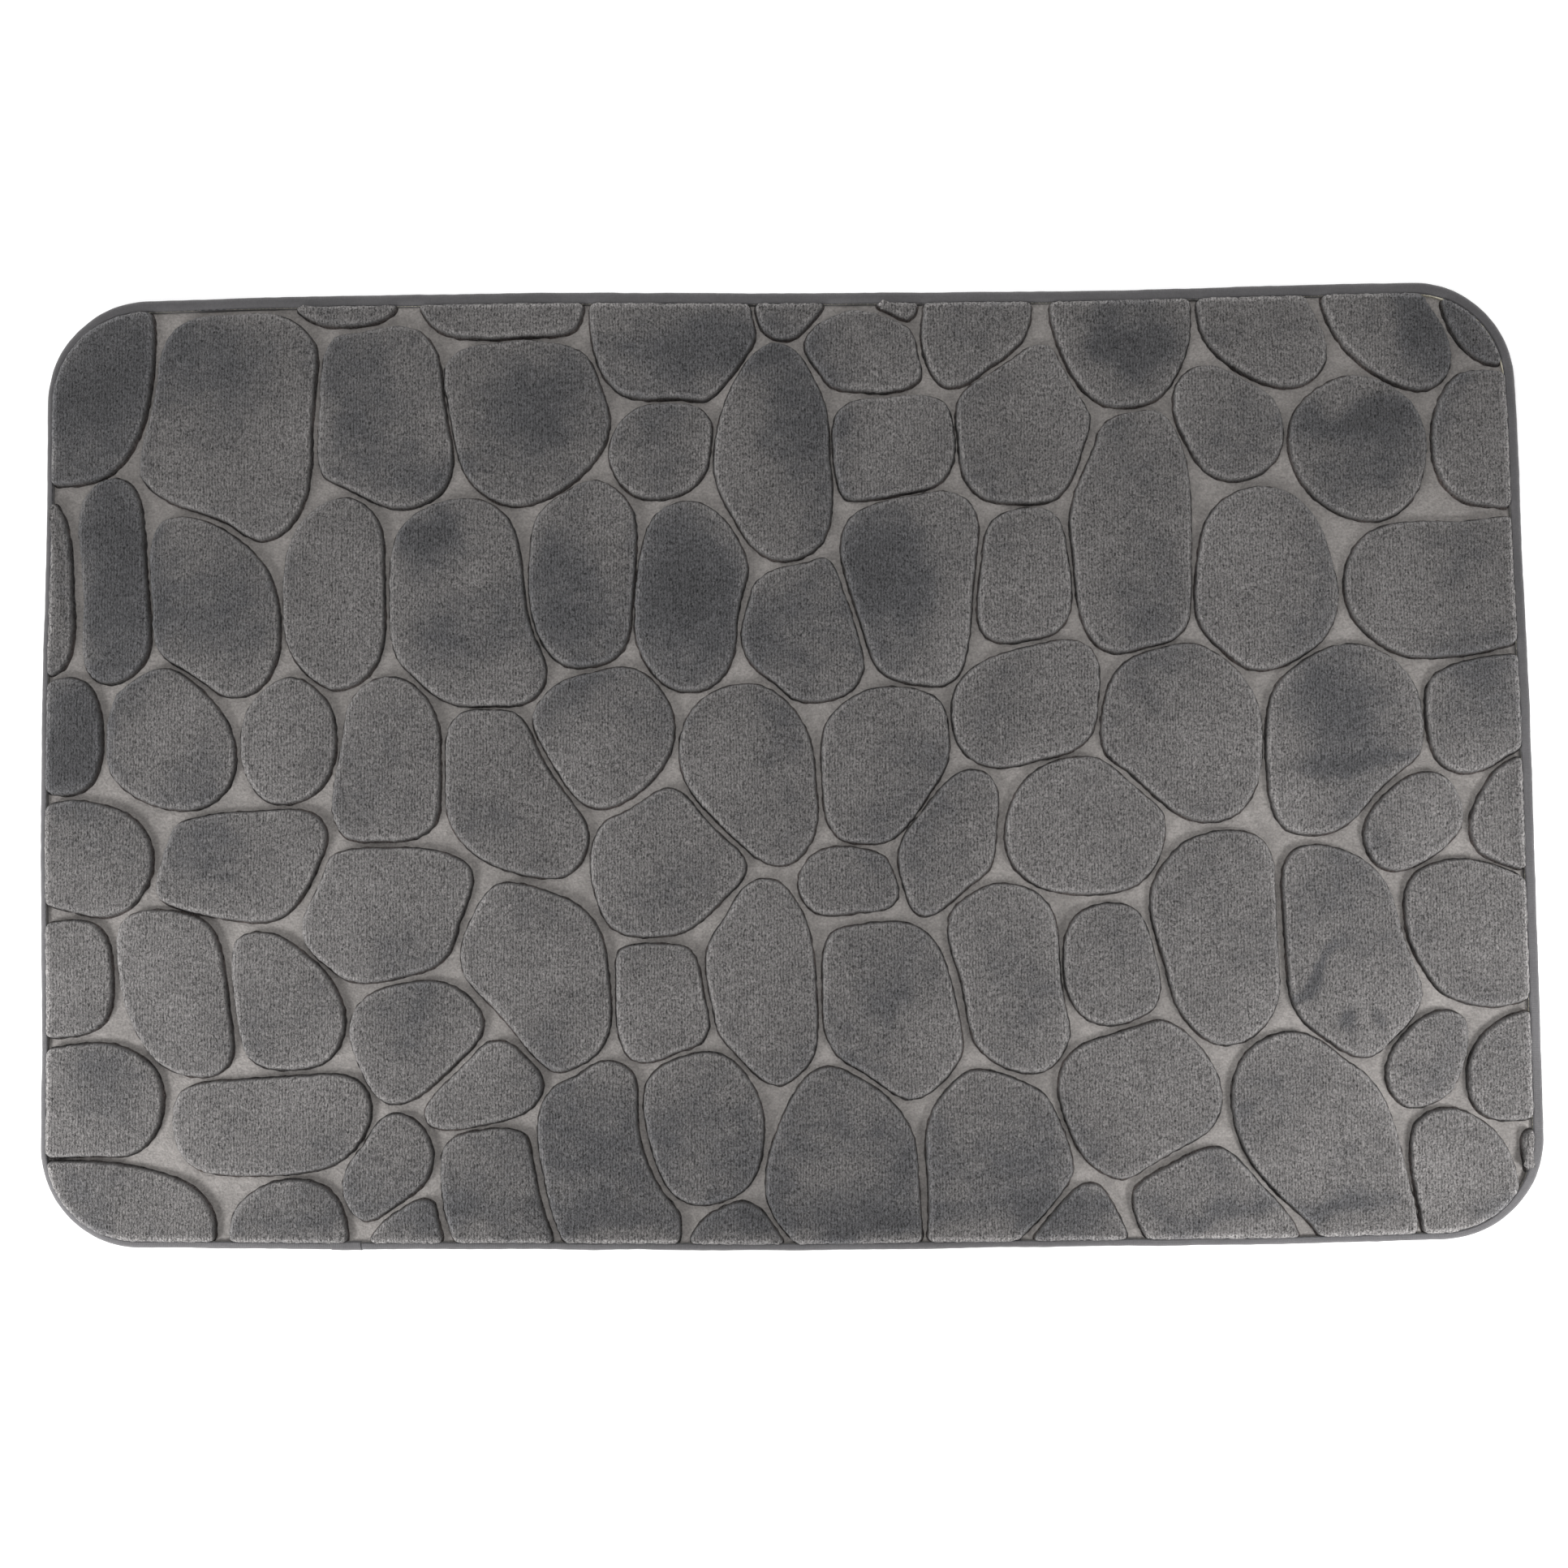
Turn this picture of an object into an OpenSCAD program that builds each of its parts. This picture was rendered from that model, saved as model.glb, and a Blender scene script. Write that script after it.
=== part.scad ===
// Cushioned bath mat: quilted fleece top over a foam core, non-slip backing,
// and a bound edge. Millimetres, +Z up, origin under the middle of the mat.

/* [Mat] */
// Overall length of the mat, along X
mat_length = 700; // [600:10:800]
// Overall width of the mat, along Y
mat_width = 450; // [400:10:500]
// Radius of the mat's four corners
corner_radius = 48; // [36:1:60]

/* [Edge binding] */
// Height of the rolled, tape-bound edge
roll_height = 9.6; // [9.2:0.1:10.4]
// Thickness of the binding tape
tape_thickness = 0.8; // [0.5:0.1:0.9]
// How far the tape reaches in under the mat
flap_width = 14; // [12:1:20]
// Tape showing along the back edge
reveal_back = 6.5; // [3.5:0.1:6.9]
// Tape showing along the front edge
reveal_front = 3.5; // [3.5:0.1:6.9]
// Tape showing along the right edge
reveal_right = 5.8; // [3.5:0.1:6.9]
// Tape showing along the left edge
reveal_left = 3.7; // [3.5:0.1:6.9]
// Distance of the underside stitch row from the mat's edge
stitch_inset = 10.5; // [9:0.5:11]
// Length of one stitch
stitch_length = 4.5; // [3:0.5:5]
// Distance from one stitch to the next
stitch_pitch = 6.5; // [6:0.5:10]
// Where the tape's end is lapped over its start, along X
lap_x = -205; // [-240:1:240]
// Length of tape that is lapped
lap_length = 14; // [8:1:20]

/* [Quilted top] */
// Height of the raised pebbles above the floor
pebble_height = 12.5; // [12:0.1:14]
// Height of the sunk channels above the floor
channel_height = 7; // [6.6:0.1:7.6]
// Height at which the pebbles' rounded shoulder begins
shoulder_height = 11; // [10.6:0.1:11.6]
// How far the pebble's crown stands in from its foot
shoulder_inset = 1.3; // [0.8:0.1:1.6]
// How far each pebble's wall stands in from its design line
channel_ease = 0.3; // [0.2:0.1:0.6]

/* [Core and backing] */
// Height of the top of the foam slab, under the channels
slab_height = 5.4; // [5:0.1:5.8]
// Height of the foam pads inside the pebbles
pad_height = 9.7; // [9:0.1:10]
// Fleece thickness at the pebbles' walls
pad_inset = 2.2; // [2:0.1:2.6]
// Height of the upper face of the backing fabric
backing_top = 1.3; // [1.2:0.1:1.6]
// Diameter of each grip dot
dot_diameter = 6; // [4:0.5:8]
// Distance between neighbouring grip dots
dot_pitch = 22; // [16:1:30]

/* [Hidden] */
$fn = 64;
roll_r = roll_height / 2;
groove_depth = 0.4;
groove_width = 1.2;
seam_w = 0.6;
seam_z = 8.7;
lap_t = 0.4;
// The fleece's own rectangle: x from, x to, y from, y to
fleece = [-mat_length / 2 + reveal_left, mat_length / 2 - reveal_right,
          -mat_width / 2 + reveal_front, mat_width / 2 - reveal_back];
fleece_r = corner_radius - 4.5;

// Outline of every raised pebble, drawn for a 700 x 450 mat from its middle.
// A smooth closed curve runs through the points. Pebbles along the border run
// past the edge and are cut by the fleece's own outline.
pebbles = [
    [[-362,135.5],[-344,135.5],[-331,136.5],[-319,140.5],[-308.5,153],[-303,166],[-300,182],
     [-298.5,200],[-299,215],[-303,236],[-362,236]],
    [[-294.5,200],[-288,210],[-278,215],[-260,215.5],[-240,215.5],[-229,210],[-221,200],
     [-221.5,182],[-223,160],[-225,130],[-234,113.5],[-247,107.5],[-262,116.5],[-276,122],
     [-290,127],[-304,139],[-303,155],[-299.5,168],[-296.5,184]],
    [[-240,236],[-231,218],[-219,210.5],[-206,209.5],[-192,211],[-183,216],[-173,236]],
    [[-217,195],[-212,204],[-200,206],[-184,209],[-171,206.5],[-163,196],[-160.5,178],[-157.5,160],
     [-155.5,144],[-160,131],[-171,124],[-183,122.5],[-197,128],[-207,133.5],[-217,138.5],
     [-219.5,150],[-218.5,172]],
    [[-178,236],[-170,215],[-162,206.5],[-152,203.5],[-120,203.5],[-105,204],[-97,206.5],
     [-93.5,213],[-92,236]],
    [[-159,190],[-151,197.5],[-138,200],[-103,199.5],[-92,194.5],[-85,179],[-80.5,163],[-84,150],
     [-96,136],[-112,126],[-126,123],[-138,127],[-149,138],[-154,153],[-157,171]],
    [[-88,236],[-90,213],[-88,197],[-83,184],[-74.5,176],[-62,173.5],[-48,174],[-35,172.5],
     [-26,180.5],[-16.5,193],[-11,203],[-13,213],[-15.5,236]],
    [[-66,170],[-76,162],[-81,150],[-79.5,140],[-69.5,127.5],[-58,125.5],[-44,129],[-35,139],
     [-33,150],[-32.5,162],[-39,169.5],[-52,171]],
    [[-3,200],[8,196],[15.5,184],[22,169],[23.5,145],[24.5,122],[20,104],[8,96],[-4,96],
     [-14.5,103.5],[-21,114.5],[-27,125],[-31,138],[-30.5,152],[-25,173],[-19.5,184],[-13,193.5]],
    [[-13,236],[-10.5,214],[-7,205.5],[0,201.5],[8,202.5],[15.5,210],[23,219],[30,236]],
    [[27,165],[34,171],[50,172.5],[70,173.5],[79,169.5],[82,160],[82.5,143],[76,131.5],[60,127],
     [40,124],[31,124.5],[27,134],[25.5,150]],
    [[13.5,203],[12.5,197],[18.5,187],[25,178.5],[36,176.5],[60,177],[67.5,182],[66,193],[62.5,206],
     [52,211.5],[36,215.5],[25,212]],
    [[42,236],[44.5,219],[53,214.5],[62,210.5],[66,215],[67.5,236]],
    [[71,236],[69,213],[68,202],[71.5,187],[78,178],[86,178],[99,186.5],[115.5,199.5],[119.5,209],
     [120,236]],
    [[84.5,169],[88,175.5],[100,183.5],[112,191.5],[121,197.5],[129,197],[133,189.5],[141,174],
     [147.5,162],[143.5,148],[138,132.5],[130,123],[110,121.5],[96,124],[87.5,134],[85,152]],
    [[129,236],[130,209],[135,192],[144,176],[154,168],[168,167],[180,171],[189,183],[195,199],
     [195.5,212],[195,236]],
    [[198,236],[199,214],[200.5,204],[206,194],[218.5,183.5],[237,175.5],[250,177],[259.5,188],
     [258,202],[251,216],[247,236]],
    [[140,75],[138.5,95],[137,112],[140,127],[149.5,148],[151.5,155],[156.5,161],[168,164],
     [180,164.5],[187.5,155],[192.5,139],[194,118],[193.5,92],[193,73],[190.5,61.5],[184,55.5],
     [172,52.5],[158,49.5],[149.5,52.5],[143.5,61]],
    [[257,236],[259.5,210],[268.5,193.5],[281.5,182],[296,174.5],[308,173.5],[316.5,180],[319,190],
     [315.5,202],[308,214],[296,236]],
    [[310,240],[314.5,216],[318.5,203],[326,192],[336,185.5],[347,184],[362,183],[362,240]],
    [[197,185.5],[208,185.5],[221,178.5],[233.5,170.5],[238.5,157],[235.5,141.5],[226,133.5],
     [212,131],[201.5,135.5],[192.5,149.5],[187,165],[189,178]],
    [[241,149],[244.5,164],[255,174.5],[270,180.5],[285,177.5],[298.5,168],[305.5,152],[304.5,136],
     [297.5,119.5],[283,111],[268,113],[252.5,122.5],[243.5,136]],
    [[362,178],[345,181],[334,182],[322.5,180.5],[312.5,168],[308.5,150],[311.5,131],[321,120.5],
     [337,117],[362,116.5]],
    [[362,110.5],[320,109.5],[290,109.5],[276.5,104.5],[267.5,92],[265.5,78],[268.5,66.5],
     [275.5,57.5],[285,50],[296,46],[310,46],[326,47.5],[340,51],[362,55]],
    [[195.5,80],[197.5,97],[201.5,112],[209,121.5],[228,128],[242.5,123.5],[254.5,109],[259.5,92],
     [262.5,76],[260.5,65],[255,55],[245,47.5],[232,41.5],[219,41.5],[208.5,49.5],[198.5,60.5],
     [195.5,69]],
    [[93,76],[95.5,95],[97,106],[101,113.5],[110,118],[119,119],[127,117.5],[132.5,111.5],[135,98],
     [137,76],[135,66.5],[129,59.5],[117,56.5],[104,55],[96,58.5],[93,66]],
    [[34.5,75],[30.5,89],[28.5,101],[32.5,114.5],[44,121.5],[64,125.5],[78,127.5],[88.5,123.5],
     [93.5,112],[92.5,98],[90,76],[89,62],[87,50],[83,39.5],[75,35],[66,35.5],[54,38],[45.5,43.5],
     [41,54],[37.5,66]],
    [[-330,78],[-332,100],[-333,122],[-328,133],[-317,139],[-308,134.5],[-303.5,120],[-302,100],
     [-300,76],[-299,62],[-301,52],[-306,45.5],[-313.5,41],[-322,41],[-328,46.5],[-330,56]],
    [[-360,130],[-346,128],[-340,118],[-337.5,104],[-336,80],[-335,66],[-336,57],[-338,50],
     [-342,46],[-348,43],[-360,42]],
    [[-297.5,75],[-299,92],[-298.5,107.5],[-293,118],[-281,119.5],[-267,114.5],[-253.5,105],
     [-244,94],[-238.5,78],[-237.5,64],[-238.5,53],[-241.5,44.5],[-247.5,37],[-256,33.5],
     [-265,34.5],[-273,40.5],[-283,47],[-292,52.5],[-296.5,60]],
    [[-235.5,76],[-234.5,100],[-228,115.5],[-216,125.5],[-205,128],[-194.5,121.5],[-189.5,112],
     [-188.5,96],[-188,76],[-188,62],[-190.5,51],[-196,42.5],[-204,37.5],[-213,36.5],[-222,42],
     [-230,50.5],[-234.5,61]],
    [[-185,76],[-184.5,98],[-181.5,111],[-172,120.5],[-155,126.5],[-140,125.5],[-129,116.5],
     [-124.5,104],[-122.5,90],[-120.5,72],[-117,60],[-112.5,50],[-111.5,41],[-115.5,32.5],
     [-123,28.5],[-138,28],[-154,28.5],[-165,34],[-173.5,42],[-181.5,50.5],[-184.5,62]],
    [[-119,80],[-118.5,100],[-115.5,117.5],[-103,128.5],[-88,135],[-78,130.5],[-70,120],[-68.5,104],
     [-70.5,76],[-71.5,64],[-74.5,54.5],[-81,48.5],[-91,46],[-102,46.5],[-109.5,52.5],[-115.5,63]],
    [[-69,72],[-68,87],[-65,104],[-59.5,117.5],[-48,124],[-37,123],[-27,115.5],[-19,103],[-15.5,92],
     [-18.5,80],[-21,68],[-22,54],[-26.5,42.5],[-34,35.5],[-45,33.5],[-54.5,36.5],[-63.5,46.5],
     [-68.5,58.5]],
    [[-14.5,77],[-13,83],[-6,89.5],[4,92.5],[13,94],[20.5,96.5],[25.5,91.5],[28.5,82],[32,73],
     [35,62],[37.5,53],[38.5,43.5],[33.5,34],[25,29.5],[14,28],[5.5,29.5],[-2.5,37],[-11.5,43.5],
     [-17.5,52.5],[-18.5,62],[-16.5,71]],
    [[362,47.5],[340,46.5],[325,44.5],[312.5,41],[304.5,35.5],[302,26],[302.5,12],[305.5,-1],
     [311.5,-7],[321,-9],[331,-5.5],[340,0.5],[362,8]],
    [[227,5],[228.5,22],[232.5,33.5],[241,41.5],[252,48.5],[266,52.5],[279,50],[289.5,43],
     [297.5,31.5],[300,16],[298.5,0.5],[288.5,-8],[277.5,-17.5],[268.5,-28.5],[258,-35.5],[244,-37],
     [234.5,-34],[229.5,-25],[227.5,-10]],
    [[271.5,-37],[275,-27],[284,-17],[294,-10],[304,-8.5],[311,-12],[316,-22],[317,-32],[311,-41],
     [299,-50],[287,-54.5],[278,-52],[273,-45]],
    [[362,3.5],[342,-2],[332.5,-8],[326.5,-17],[321.5,-27],[320.5,-38],[323.5,-45.5],[331,-50],
     [342,-54],[362,-60]],
    [[289.5,-72],[290.5,-63.5],[295.5,-55.5],[306,-50.5],[319,-49.5],[331,-52.5],[346,-59],
     [362,-66],[362,-110],[343,-115],[330,-118],[316,-116],[305.5,-111],[298,-101],[291.5,-87]],
    [[233,-68],[233.5,-53.5],[238.5,-44.5],[248,-42],[261,-44.5],[272.5,-50.5],[280.5,-59.5],
     [285,-71],[288.5,-86],[293.5,-100],[296.5,-112],[291,-123.5],[281,-133.5],[272.5,-140.5],
     [264,-140],[252,-132.5],[241,-123.5],[236,-114],[234.5,-98],[233.5,-84]],
    [[171.5,-72],[172.5,-60.5],[179.5,-48.5],[187.5,-40.5],[199,-36],[212,-35],[221.5,-37.5],
     [228,-45.5],[229.5,-60],[230,-80],[230.5,-100],[229.5,-114.5],[222.5,-126.5],[212,-133.5],
     [200,-134],[189,-126],[182,-114.5],[178,-98],[174,-84]],
    [[150,10],[151.5,25.5],[156.5,39],[165,47],[179,51.5],[194,53.5],[204.5,48.5],[216,38.5],
     [223.5,24],[225,6],[222.5,-12.5],[214.5,-25.5],[203,-30.5],[188.5,-28.5],[176.5,-20],
     [162.5,-6.5],[152,2]],
    [[80,20],[82.5,34.5],[91.5,44],[105,50],[120,53.5],[134,56],[144.5,53],[149,44.5],[148.5,28],
     [145.5,11.5],[136,3.5],[120,-0.5],[104,-4],[92.5,-2],[83.5,6]],
    [[18.5,4],[20.5,17],[28.5,26.5],[40,33],[54,34.5],[67,32],[75,26.5],[78,14],[77.5,-1],
     [69.5,-14.5],[60.5,-28],[50.5,-37.5],[37,-39],[26.5,-36.5],[20.5,-27.5],[19,-12]],
    [[-48.5,6],[-45.5,19.5],[-36.5,30.5],[-24,36],[-10,36],[0.5,29.5],[10.5,16.5],[14.5,2],
     [15.5,-14],[16,-28.5],[9.5,-43.5],[2,-48.5],[-7,-48],[-20,-38.5],[-32,-26.5],[-42.5,-14.5],
     [-47.5,-3]],
    [[-117.5,22],[-113.5,30.5],[-102.5,39.5],[-90,42.5],[-76,45.5],[-66,43],[-57.5,34.5],[-52,24.5],
     [-51.5,9],[-57.5,-3.5],[-70,-15.5],[-86,-21.5],[-94.5,-18.5],[-103,-8.5],[-110,3.5],
     [-115.5,13.5]],
    [[-158.5,2],[-157,18],[-150.5,25],[-138,25.5],[-126.5,24.5],[-120,17],[-114.5,4],[-105,-11],
     [-96,-23],[-91.5,-34],[-94.5,-45.5],[-102.5,-53],[-114,-53.5],[-129,-50],[-142.5,-44],
     [-152.5,-34.5],[-157.5,-24.5],[-158.5,-12]],
    [[-207,14],[-205,27.5],[-198,37.5],[-187.5,42],[-177.5,40],[-168,31.5],[-162.5,19.5],[-161.5,4],
     [-161.5,-14],[-163.5,-27.5],[-172,-34],[-190,-35.5],[-205.5,-34],[-211,-25.5],[-212,-14],
     [-209.5,0]],
    [[-255.5,12],[-253.5,24.5],[-248.5,32.5],[-242,38.5],[-235,42],[-227,41],[-219.5,35.5],
     [-213.5,28],[-211,17],[-211,6],[-214,-5],[-221.5,-13.5],[-233,-17.5],[-243.5,-16],
     [-250.5,-8.5],[-254.5,1]],
    [[-318.5,10],[-317.5,24.5],[-314,35],[-304,43],[-297,46.5],[-290,47],[-281,42],[-270.5,32.5],
     [-261.5,19.5],[-258,4],[-261.5,-9.5],[-271.5,-18],[-284,-20],[-298,-17],[-310.5,-9.5],
     [-317,-1.5]],
    [[-362,41],[-346,41.5],[-337,43.5],[-328.5,40.5],[-323.5,31.5],[-321,16],[-322,2],[-326,-7.5],
     [-333.5,-12],[-346,-11.5],[-362,-10]],
    [[-362,-21],[-346,-17],[-335,-15],[-321.5,-17],[-309.5,-21.5],[-300.5,-30.5],[-297,-42],
     [-299.5,-55.5],[-307.5,-66],[-317.5,-70],[-332,-68],[-345,-64.5],[-362,-61]],
    [[-289.5,-35],[-286.5,-27.5],[-277,-24],[-260,-21.5],[-243,-21],[-228,-20.5],[-218.5,-24.5],
     [-214.5,-33],[-218.5,-45.5],[-224.5,-58.5],[-233.5,-69.5],[-243,-73],[-258,-72],[-274,-69],
     [-287.5,-65],[-294.5,-60.5],[-294,-50]],
    [[-216.5,-52.5],[-212.5,-42.5],[-203,-39.5],[-188,-39],[-170,-39.5],[-155.5,-43],[-146.5,-49.5],
     [-147.5,-61],[-152.5,-74],[-156.5,-87.5],[-163.5,-94.5],[-176,-98.5],[-190,-101.5],[-204,-101],
     [-213.5,-94.5],[-225,-82.5],[-225.5,-72],[-221.5,-63]],
    [[-146.5,-73],[-141.5,-63.5],[-134.5,-56.5],[-124,-56.5],[-111.5,-60],[-100.5,-64.5],
     [-90.5,-72.5],[-85,-83.5],[-83,-96],[-81.5,-112],[-82,-124.5],[-87.5,-135.5],[-97.5,-142],
     [-107,-144.5],[-114.5,-139.5],[-125.5,-126.5],[-137.5,-112.5],[-149.5,-99.5],[-151.5,-90],
     [-150,-81]],
    [[-90.5,-48],[-89,-37],[-83.5,-27.5],[-73.5,-23],[-64,-17],[-54.5,-12],[-47.5,-14.5],
     [-39,-24.5],[-28,-36],[-18,-46.5],[-18,-52.5],[-26.5,-62.5],[-36.5,-72.5],[-46.5,-79.5],
     [-60,-81.5],[-72.5,-81],[-81.5,-76.5],[-87.5,-64]],
    [[7,-56],[10,-48.5],[16.5,-42.5],[26,-40.5],[38,-42],[47.5,-45.5],[51.5,-54],[53.5,-64.5],
     [48.5,-69.5],[36,-71],[24,-72.5],[14.5,-71],[8.5,-64.5]],
    [[54,-45],[57.5,-34.5],[65.5,-24.5],[74.5,-13.5],[83.5,-6],[93,-5.5],[98.5,-9.5],[101,-18],
     [100,-30],[99,-42.5],[96.5,-51.5],[86.5,-59.5],[75.5,-69],[66,-73.5],[60.5,-70.5],[57,-61],
     [54.5,-52]],
    [[104,-38],[106.5,-23],[113.5,-10.5],[124,-3],[139,0.5],[149,-0.5],[159.5,-9],[169.5,-18],
     [178,-26.5],[178.5,-37],[174.5,-49.5],[165.5,-59.5],[151,-63.5],[134,-63.5],[119.5,-60],
     [108.5,-51.5]],
    [[77,-81],[78.5,-71.5],[86.5,-64.5],[97,-59],[109,-59.5],[119.5,-64],[126,-73.5],[128,-88],
     [128.5,-103],[131,-118],[132.5,-129],[128,-139.5],[120.5,-146],[110,-146.5],[97.5,-141.5],
     [88.5,-132.5],[85,-117],[82,-101],[78,-89]],
    [[130.5,-98],[131.5,-84],[136.5,-74],[145,-69.5],[156,-68.5],[164.5,-71.5],[169.5,-80.5],
     [173,-94],[175,-106],[172.5,-116.5],[163.5,-122],[152,-125],[141.5,-122.5],[133.5,-113.5]],
    [[-362,-74],[-344,-72.5],[-333,-71.5],[-324,-73.5],[-318.5,-79.5],[-316,-92],[-315.5,-107],
     [-318.5,-118.5],[-327,-124],[-341,-126],[-362,-127]],
    [[-362,-134],[-343,-131],[-330,-129.5],[-316,-129.5],[-303.5,-134.5],[-295,-141.5],[-291,-154],
     [-292.5,-166.5],[-299.5,-177.5],[-308,-181.5],[-322,-181.5],[-342,-182],[-362,-182]],
    [[-366,-184],[-340,-184],[-322,-184.5],[-304,-187],[-287,-191.5],[-275.5,-197.5],
     [-267.5,-207.5],[-266,-218],[-266.5,-240],[-366,-240]],
    [[-313,-84],[-312,-74.5],[-305.5,-68.5],[-295,-67],[-281,-69],[-270.5,-74],[-265.5,-83.5],
     [-262.5,-98],[-260.5,-114],[-258.5,-129],[-259.5,-138.5],[-267,-144.5],[-279,-144.5],
     [-291.5,-139.5],[-300.5,-129.5],[-307.5,-115.5],[-311.5,-101]],
    [[-259,-92],[-256.5,-81],[-248,-78],[-237,-80],[-226.5,-87],[-216,-96.5],[-209,-107.5],
     [-206,-120],[-208.5,-131.5],[-216.5,-139.5],[-229,-142],[-243,-141],[-251.5,-135.5],
     [-255,-124],[-257.5,-108]],
    [[-78.5,-98],[-77.5,-88],[-69,-85.5],[-55,-85.5],[-44.5,-87.5],[-40.5,-95],[-38,-110],
     [-35.5,-124],[-39.5,-131.5],[-50.5,-135.5],[-62,-140],[-71.5,-139],[-77,-129.5],[-78.5,-115]],
    [[-26.5,-72],[-19.5,-60.5],[-12,-55.5],[-2.5,-56.5],[4,-63.5],[10,-74.5],[13.5,-90],[14.5,-108],
     [15,-125],[13,-138],[5.5,-147],[-3,-151.5],[-11.5,-148],[-20.5,-139],[-30.5,-127.5],
     [-33.5,-115],[-36.5,-98],[-35.5,-86]],
    [[18,-105],[18.5,-90],[22.5,-80.5],[34.5,-77.5],[48,-76],[60.5,-77.5],[69.5,-84.5],[75.5,-97],
     [79,-111],[82,-126],[82.5,-136.5],[76.5,-146.5],[67.5,-155],[57,-158.5],[47.5,-153.5],
     [36.5,-145.5],[24.5,-138],[19,-127.5],[18,-116]],
    [[279,-151],[281,-140],[288.5,-130],[298,-122],[307.5,-119.5],[314.5,-122.5],[316.5,-132],
     [313,-147],[307.5,-157.5],[298,-163],[288.5,-164],[281.5,-158.5]],
    [[362,-113],[343,-120],[333,-123.5],[323.5,-131],[317.5,-141],[316,-154],[319.5,-165.5],
     [327.5,-170],[341,-170],[362,-169]],
    [[290,-182],[291.5,-172.5],[299.5,-166],[310.5,-165],[320.5,-170],[329.5,-178.5],[335,-190],
     [337.5,-202],[343,-214],[352,-240],[295,-240],[293.5,-212],[291,-197]],
    [[362,-174],[344,-173.5],[339.5,-177.5],[340,-188],[341,-198],[346,-206],[362,-204]],
    [[207.5,-164],[208.5,-150],[214.5,-138.5],[225.5,-131],[238,-129],[248.5,-133],[259,-141.5],
     [269.5,-149],[278,-161.5],[283,-178],[286,-195],[290,-212],[290.5,-240],[256,-240],
     [243.5,-217],[231.5,-204.5],[219.5,-192],[211,-178.5]],
    [[175,-240],[165,-219],[161,-208],[161,-200.5],[167.5,-194.5],[180.5,-188],[193,-182.5],
     [201.5,-181.5],[208.5,-186.5],[218.5,-198.5],[229.5,-210],[238,-222],[243,-240]],
    [[127,-154],[129.5,-142.5],[138.5,-134],[151,-130],[165,-125.5],[175.5,-123],[184,-127],
     [194,-137],[201,-149.5],[202,-164],[195.5,-174.5],[182.5,-181.5],[168.5,-189],[157,-195],
     [148.5,-193],[138.5,-185.5],[132,-173.5],[128.5,-163]],
    [[102,-240],[114.5,-220],[122.5,-211],[131.5,-201.5],[138,-197],[144.5,-197.5],[150.5,-205.5],
     [156,-216],[163,-240]],
    [[66,-240],[66,-212],[66,-194],[65,-178],[68.5,-163.5],[76.5,-153],[86,-145.5],[98,-146.5],
     [111,-151.5],[121,-157.5],[126,-167.5],[131,-180],[133,-191.5],[126.5,-201.5],[116.5,-212.5],
     [107.5,-221],[98,-240]],
    [[12,-240],[3.5,-221],[-4.5,-211.5],[-9,-202],[-9,-190],[-6,-177.5],[-0.5,-164.5],[5.5,-153.5],
     [12.5,-145.5],[21,-143],[32,-147.5],[43.5,-154.5],[53.5,-165],[59.5,-176.5],[61,-192],
     [62,-210],[61.5,-240]],
    [[-51,-240],[-45,-220],[-38.5,-211],[-30,-206],[-20,-203],[-12.5,-206.5],[-4.5,-216.5],[1,-224],
     [8,-240]],
    [[-66,-160],[-64.5,-149.5],[-57.5,-142],[-46,-137.5],[-34,-136],[-25.5,-139.5],[-16.5,-149.5],
     [-11.5,-160.5],[-10.5,-175],[-13,-188.5],[-19.5,-198],[-30,-203],[-41.5,-204.5],[-52.5,-200],
     [-59,-189.5],[-63.5,-175.5]],
    [[-95,-240],[-104.5,-219],[-108.5,-209],[-112.5,-192],[-115.5,-173],[-114,-160.5],[-107.5,-151],
     [-97,-146.5],[-87,-140],[-77.5,-140.5],[-70.5,-146.5],[-69.5,-160],[-68.5,-174],[-64,-188.5],
     [-57,-200.5],[-50,-208.5],[-49.5,-218],[-53,-240]],
    [[-148,-240],[-155,-220],[-159,-207],[-160.5,-192],[-160,-180.5],[-153.5,-173.5],[-143,-171.5],
     [-130,-170.5],[-121.5,-173.5],[-118.5,-184],[-116,-197],[-112.5,-210],[-109,-219],[-101,-240]],
    [[-168.5,-163],[-164.5,-155.5],[-154.5,-145.5],[-145.5,-136.5],[-139,-130.5],[-129.5,-130.5],
     [-121.5,-137.5],[-114,-146.5],[-113.5,-153.5],[-119.5,-161.5],[-130,-166],[-145,-169],
     [-159,-170.5],[-166.5,-168]],
    [[-203.5,-124],[-200.5,-113.5],[-192.5,-106.5],[-180,-103],[-166,-101.5],[-155.5,-104],
     [-145.5,-112],[-141,-120],[-143,-128.5],[-152.5,-138.5],[-163.5,-149],[-174,-156.5],
     [-184.5,-158.5],[-191.5,-154],[-198,-142.5],[-202,-133]],
    [[-286,-165],[-283,-152.5],[-275,-148.5],[-258,-147],[-240,-146],[-222,-145],[-207,-145],
     [-198.5,-149],[-194,-157],[-194.5,-167.5],[-201,-179],[-211.5,-186.5],[-228,-190],[-246,-191],
     [-263,-190.5],[-275.5,-187.5],[-283.5,-178.5]],
    [[-259,-240],[-259,-217],[-257,-207.5],[-249.5,-199.5],[-240,-194.5],[-228,-193],[-217,-195.5],
     [-209.5,-201.5],[-205.5,-211],[-204.5,-240]],
    [[-206.5,-195],[-203.5,-186],[-196.5,-177],[-190,-167],[-183,-163],[-174.5,-165.5],
     [-167,-173.5],[-164.5,-183],[-167.5,-193.5],[-175.5,-200.5],[-185.5,-207],[-195,-212],
     [-202.5,-207.5]],
    [[-196,-240],[-193.5,-219.5],[-186.5,-211.5],[-178,-206],[-169.5,-202],[-164.5,-203.5],
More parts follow.
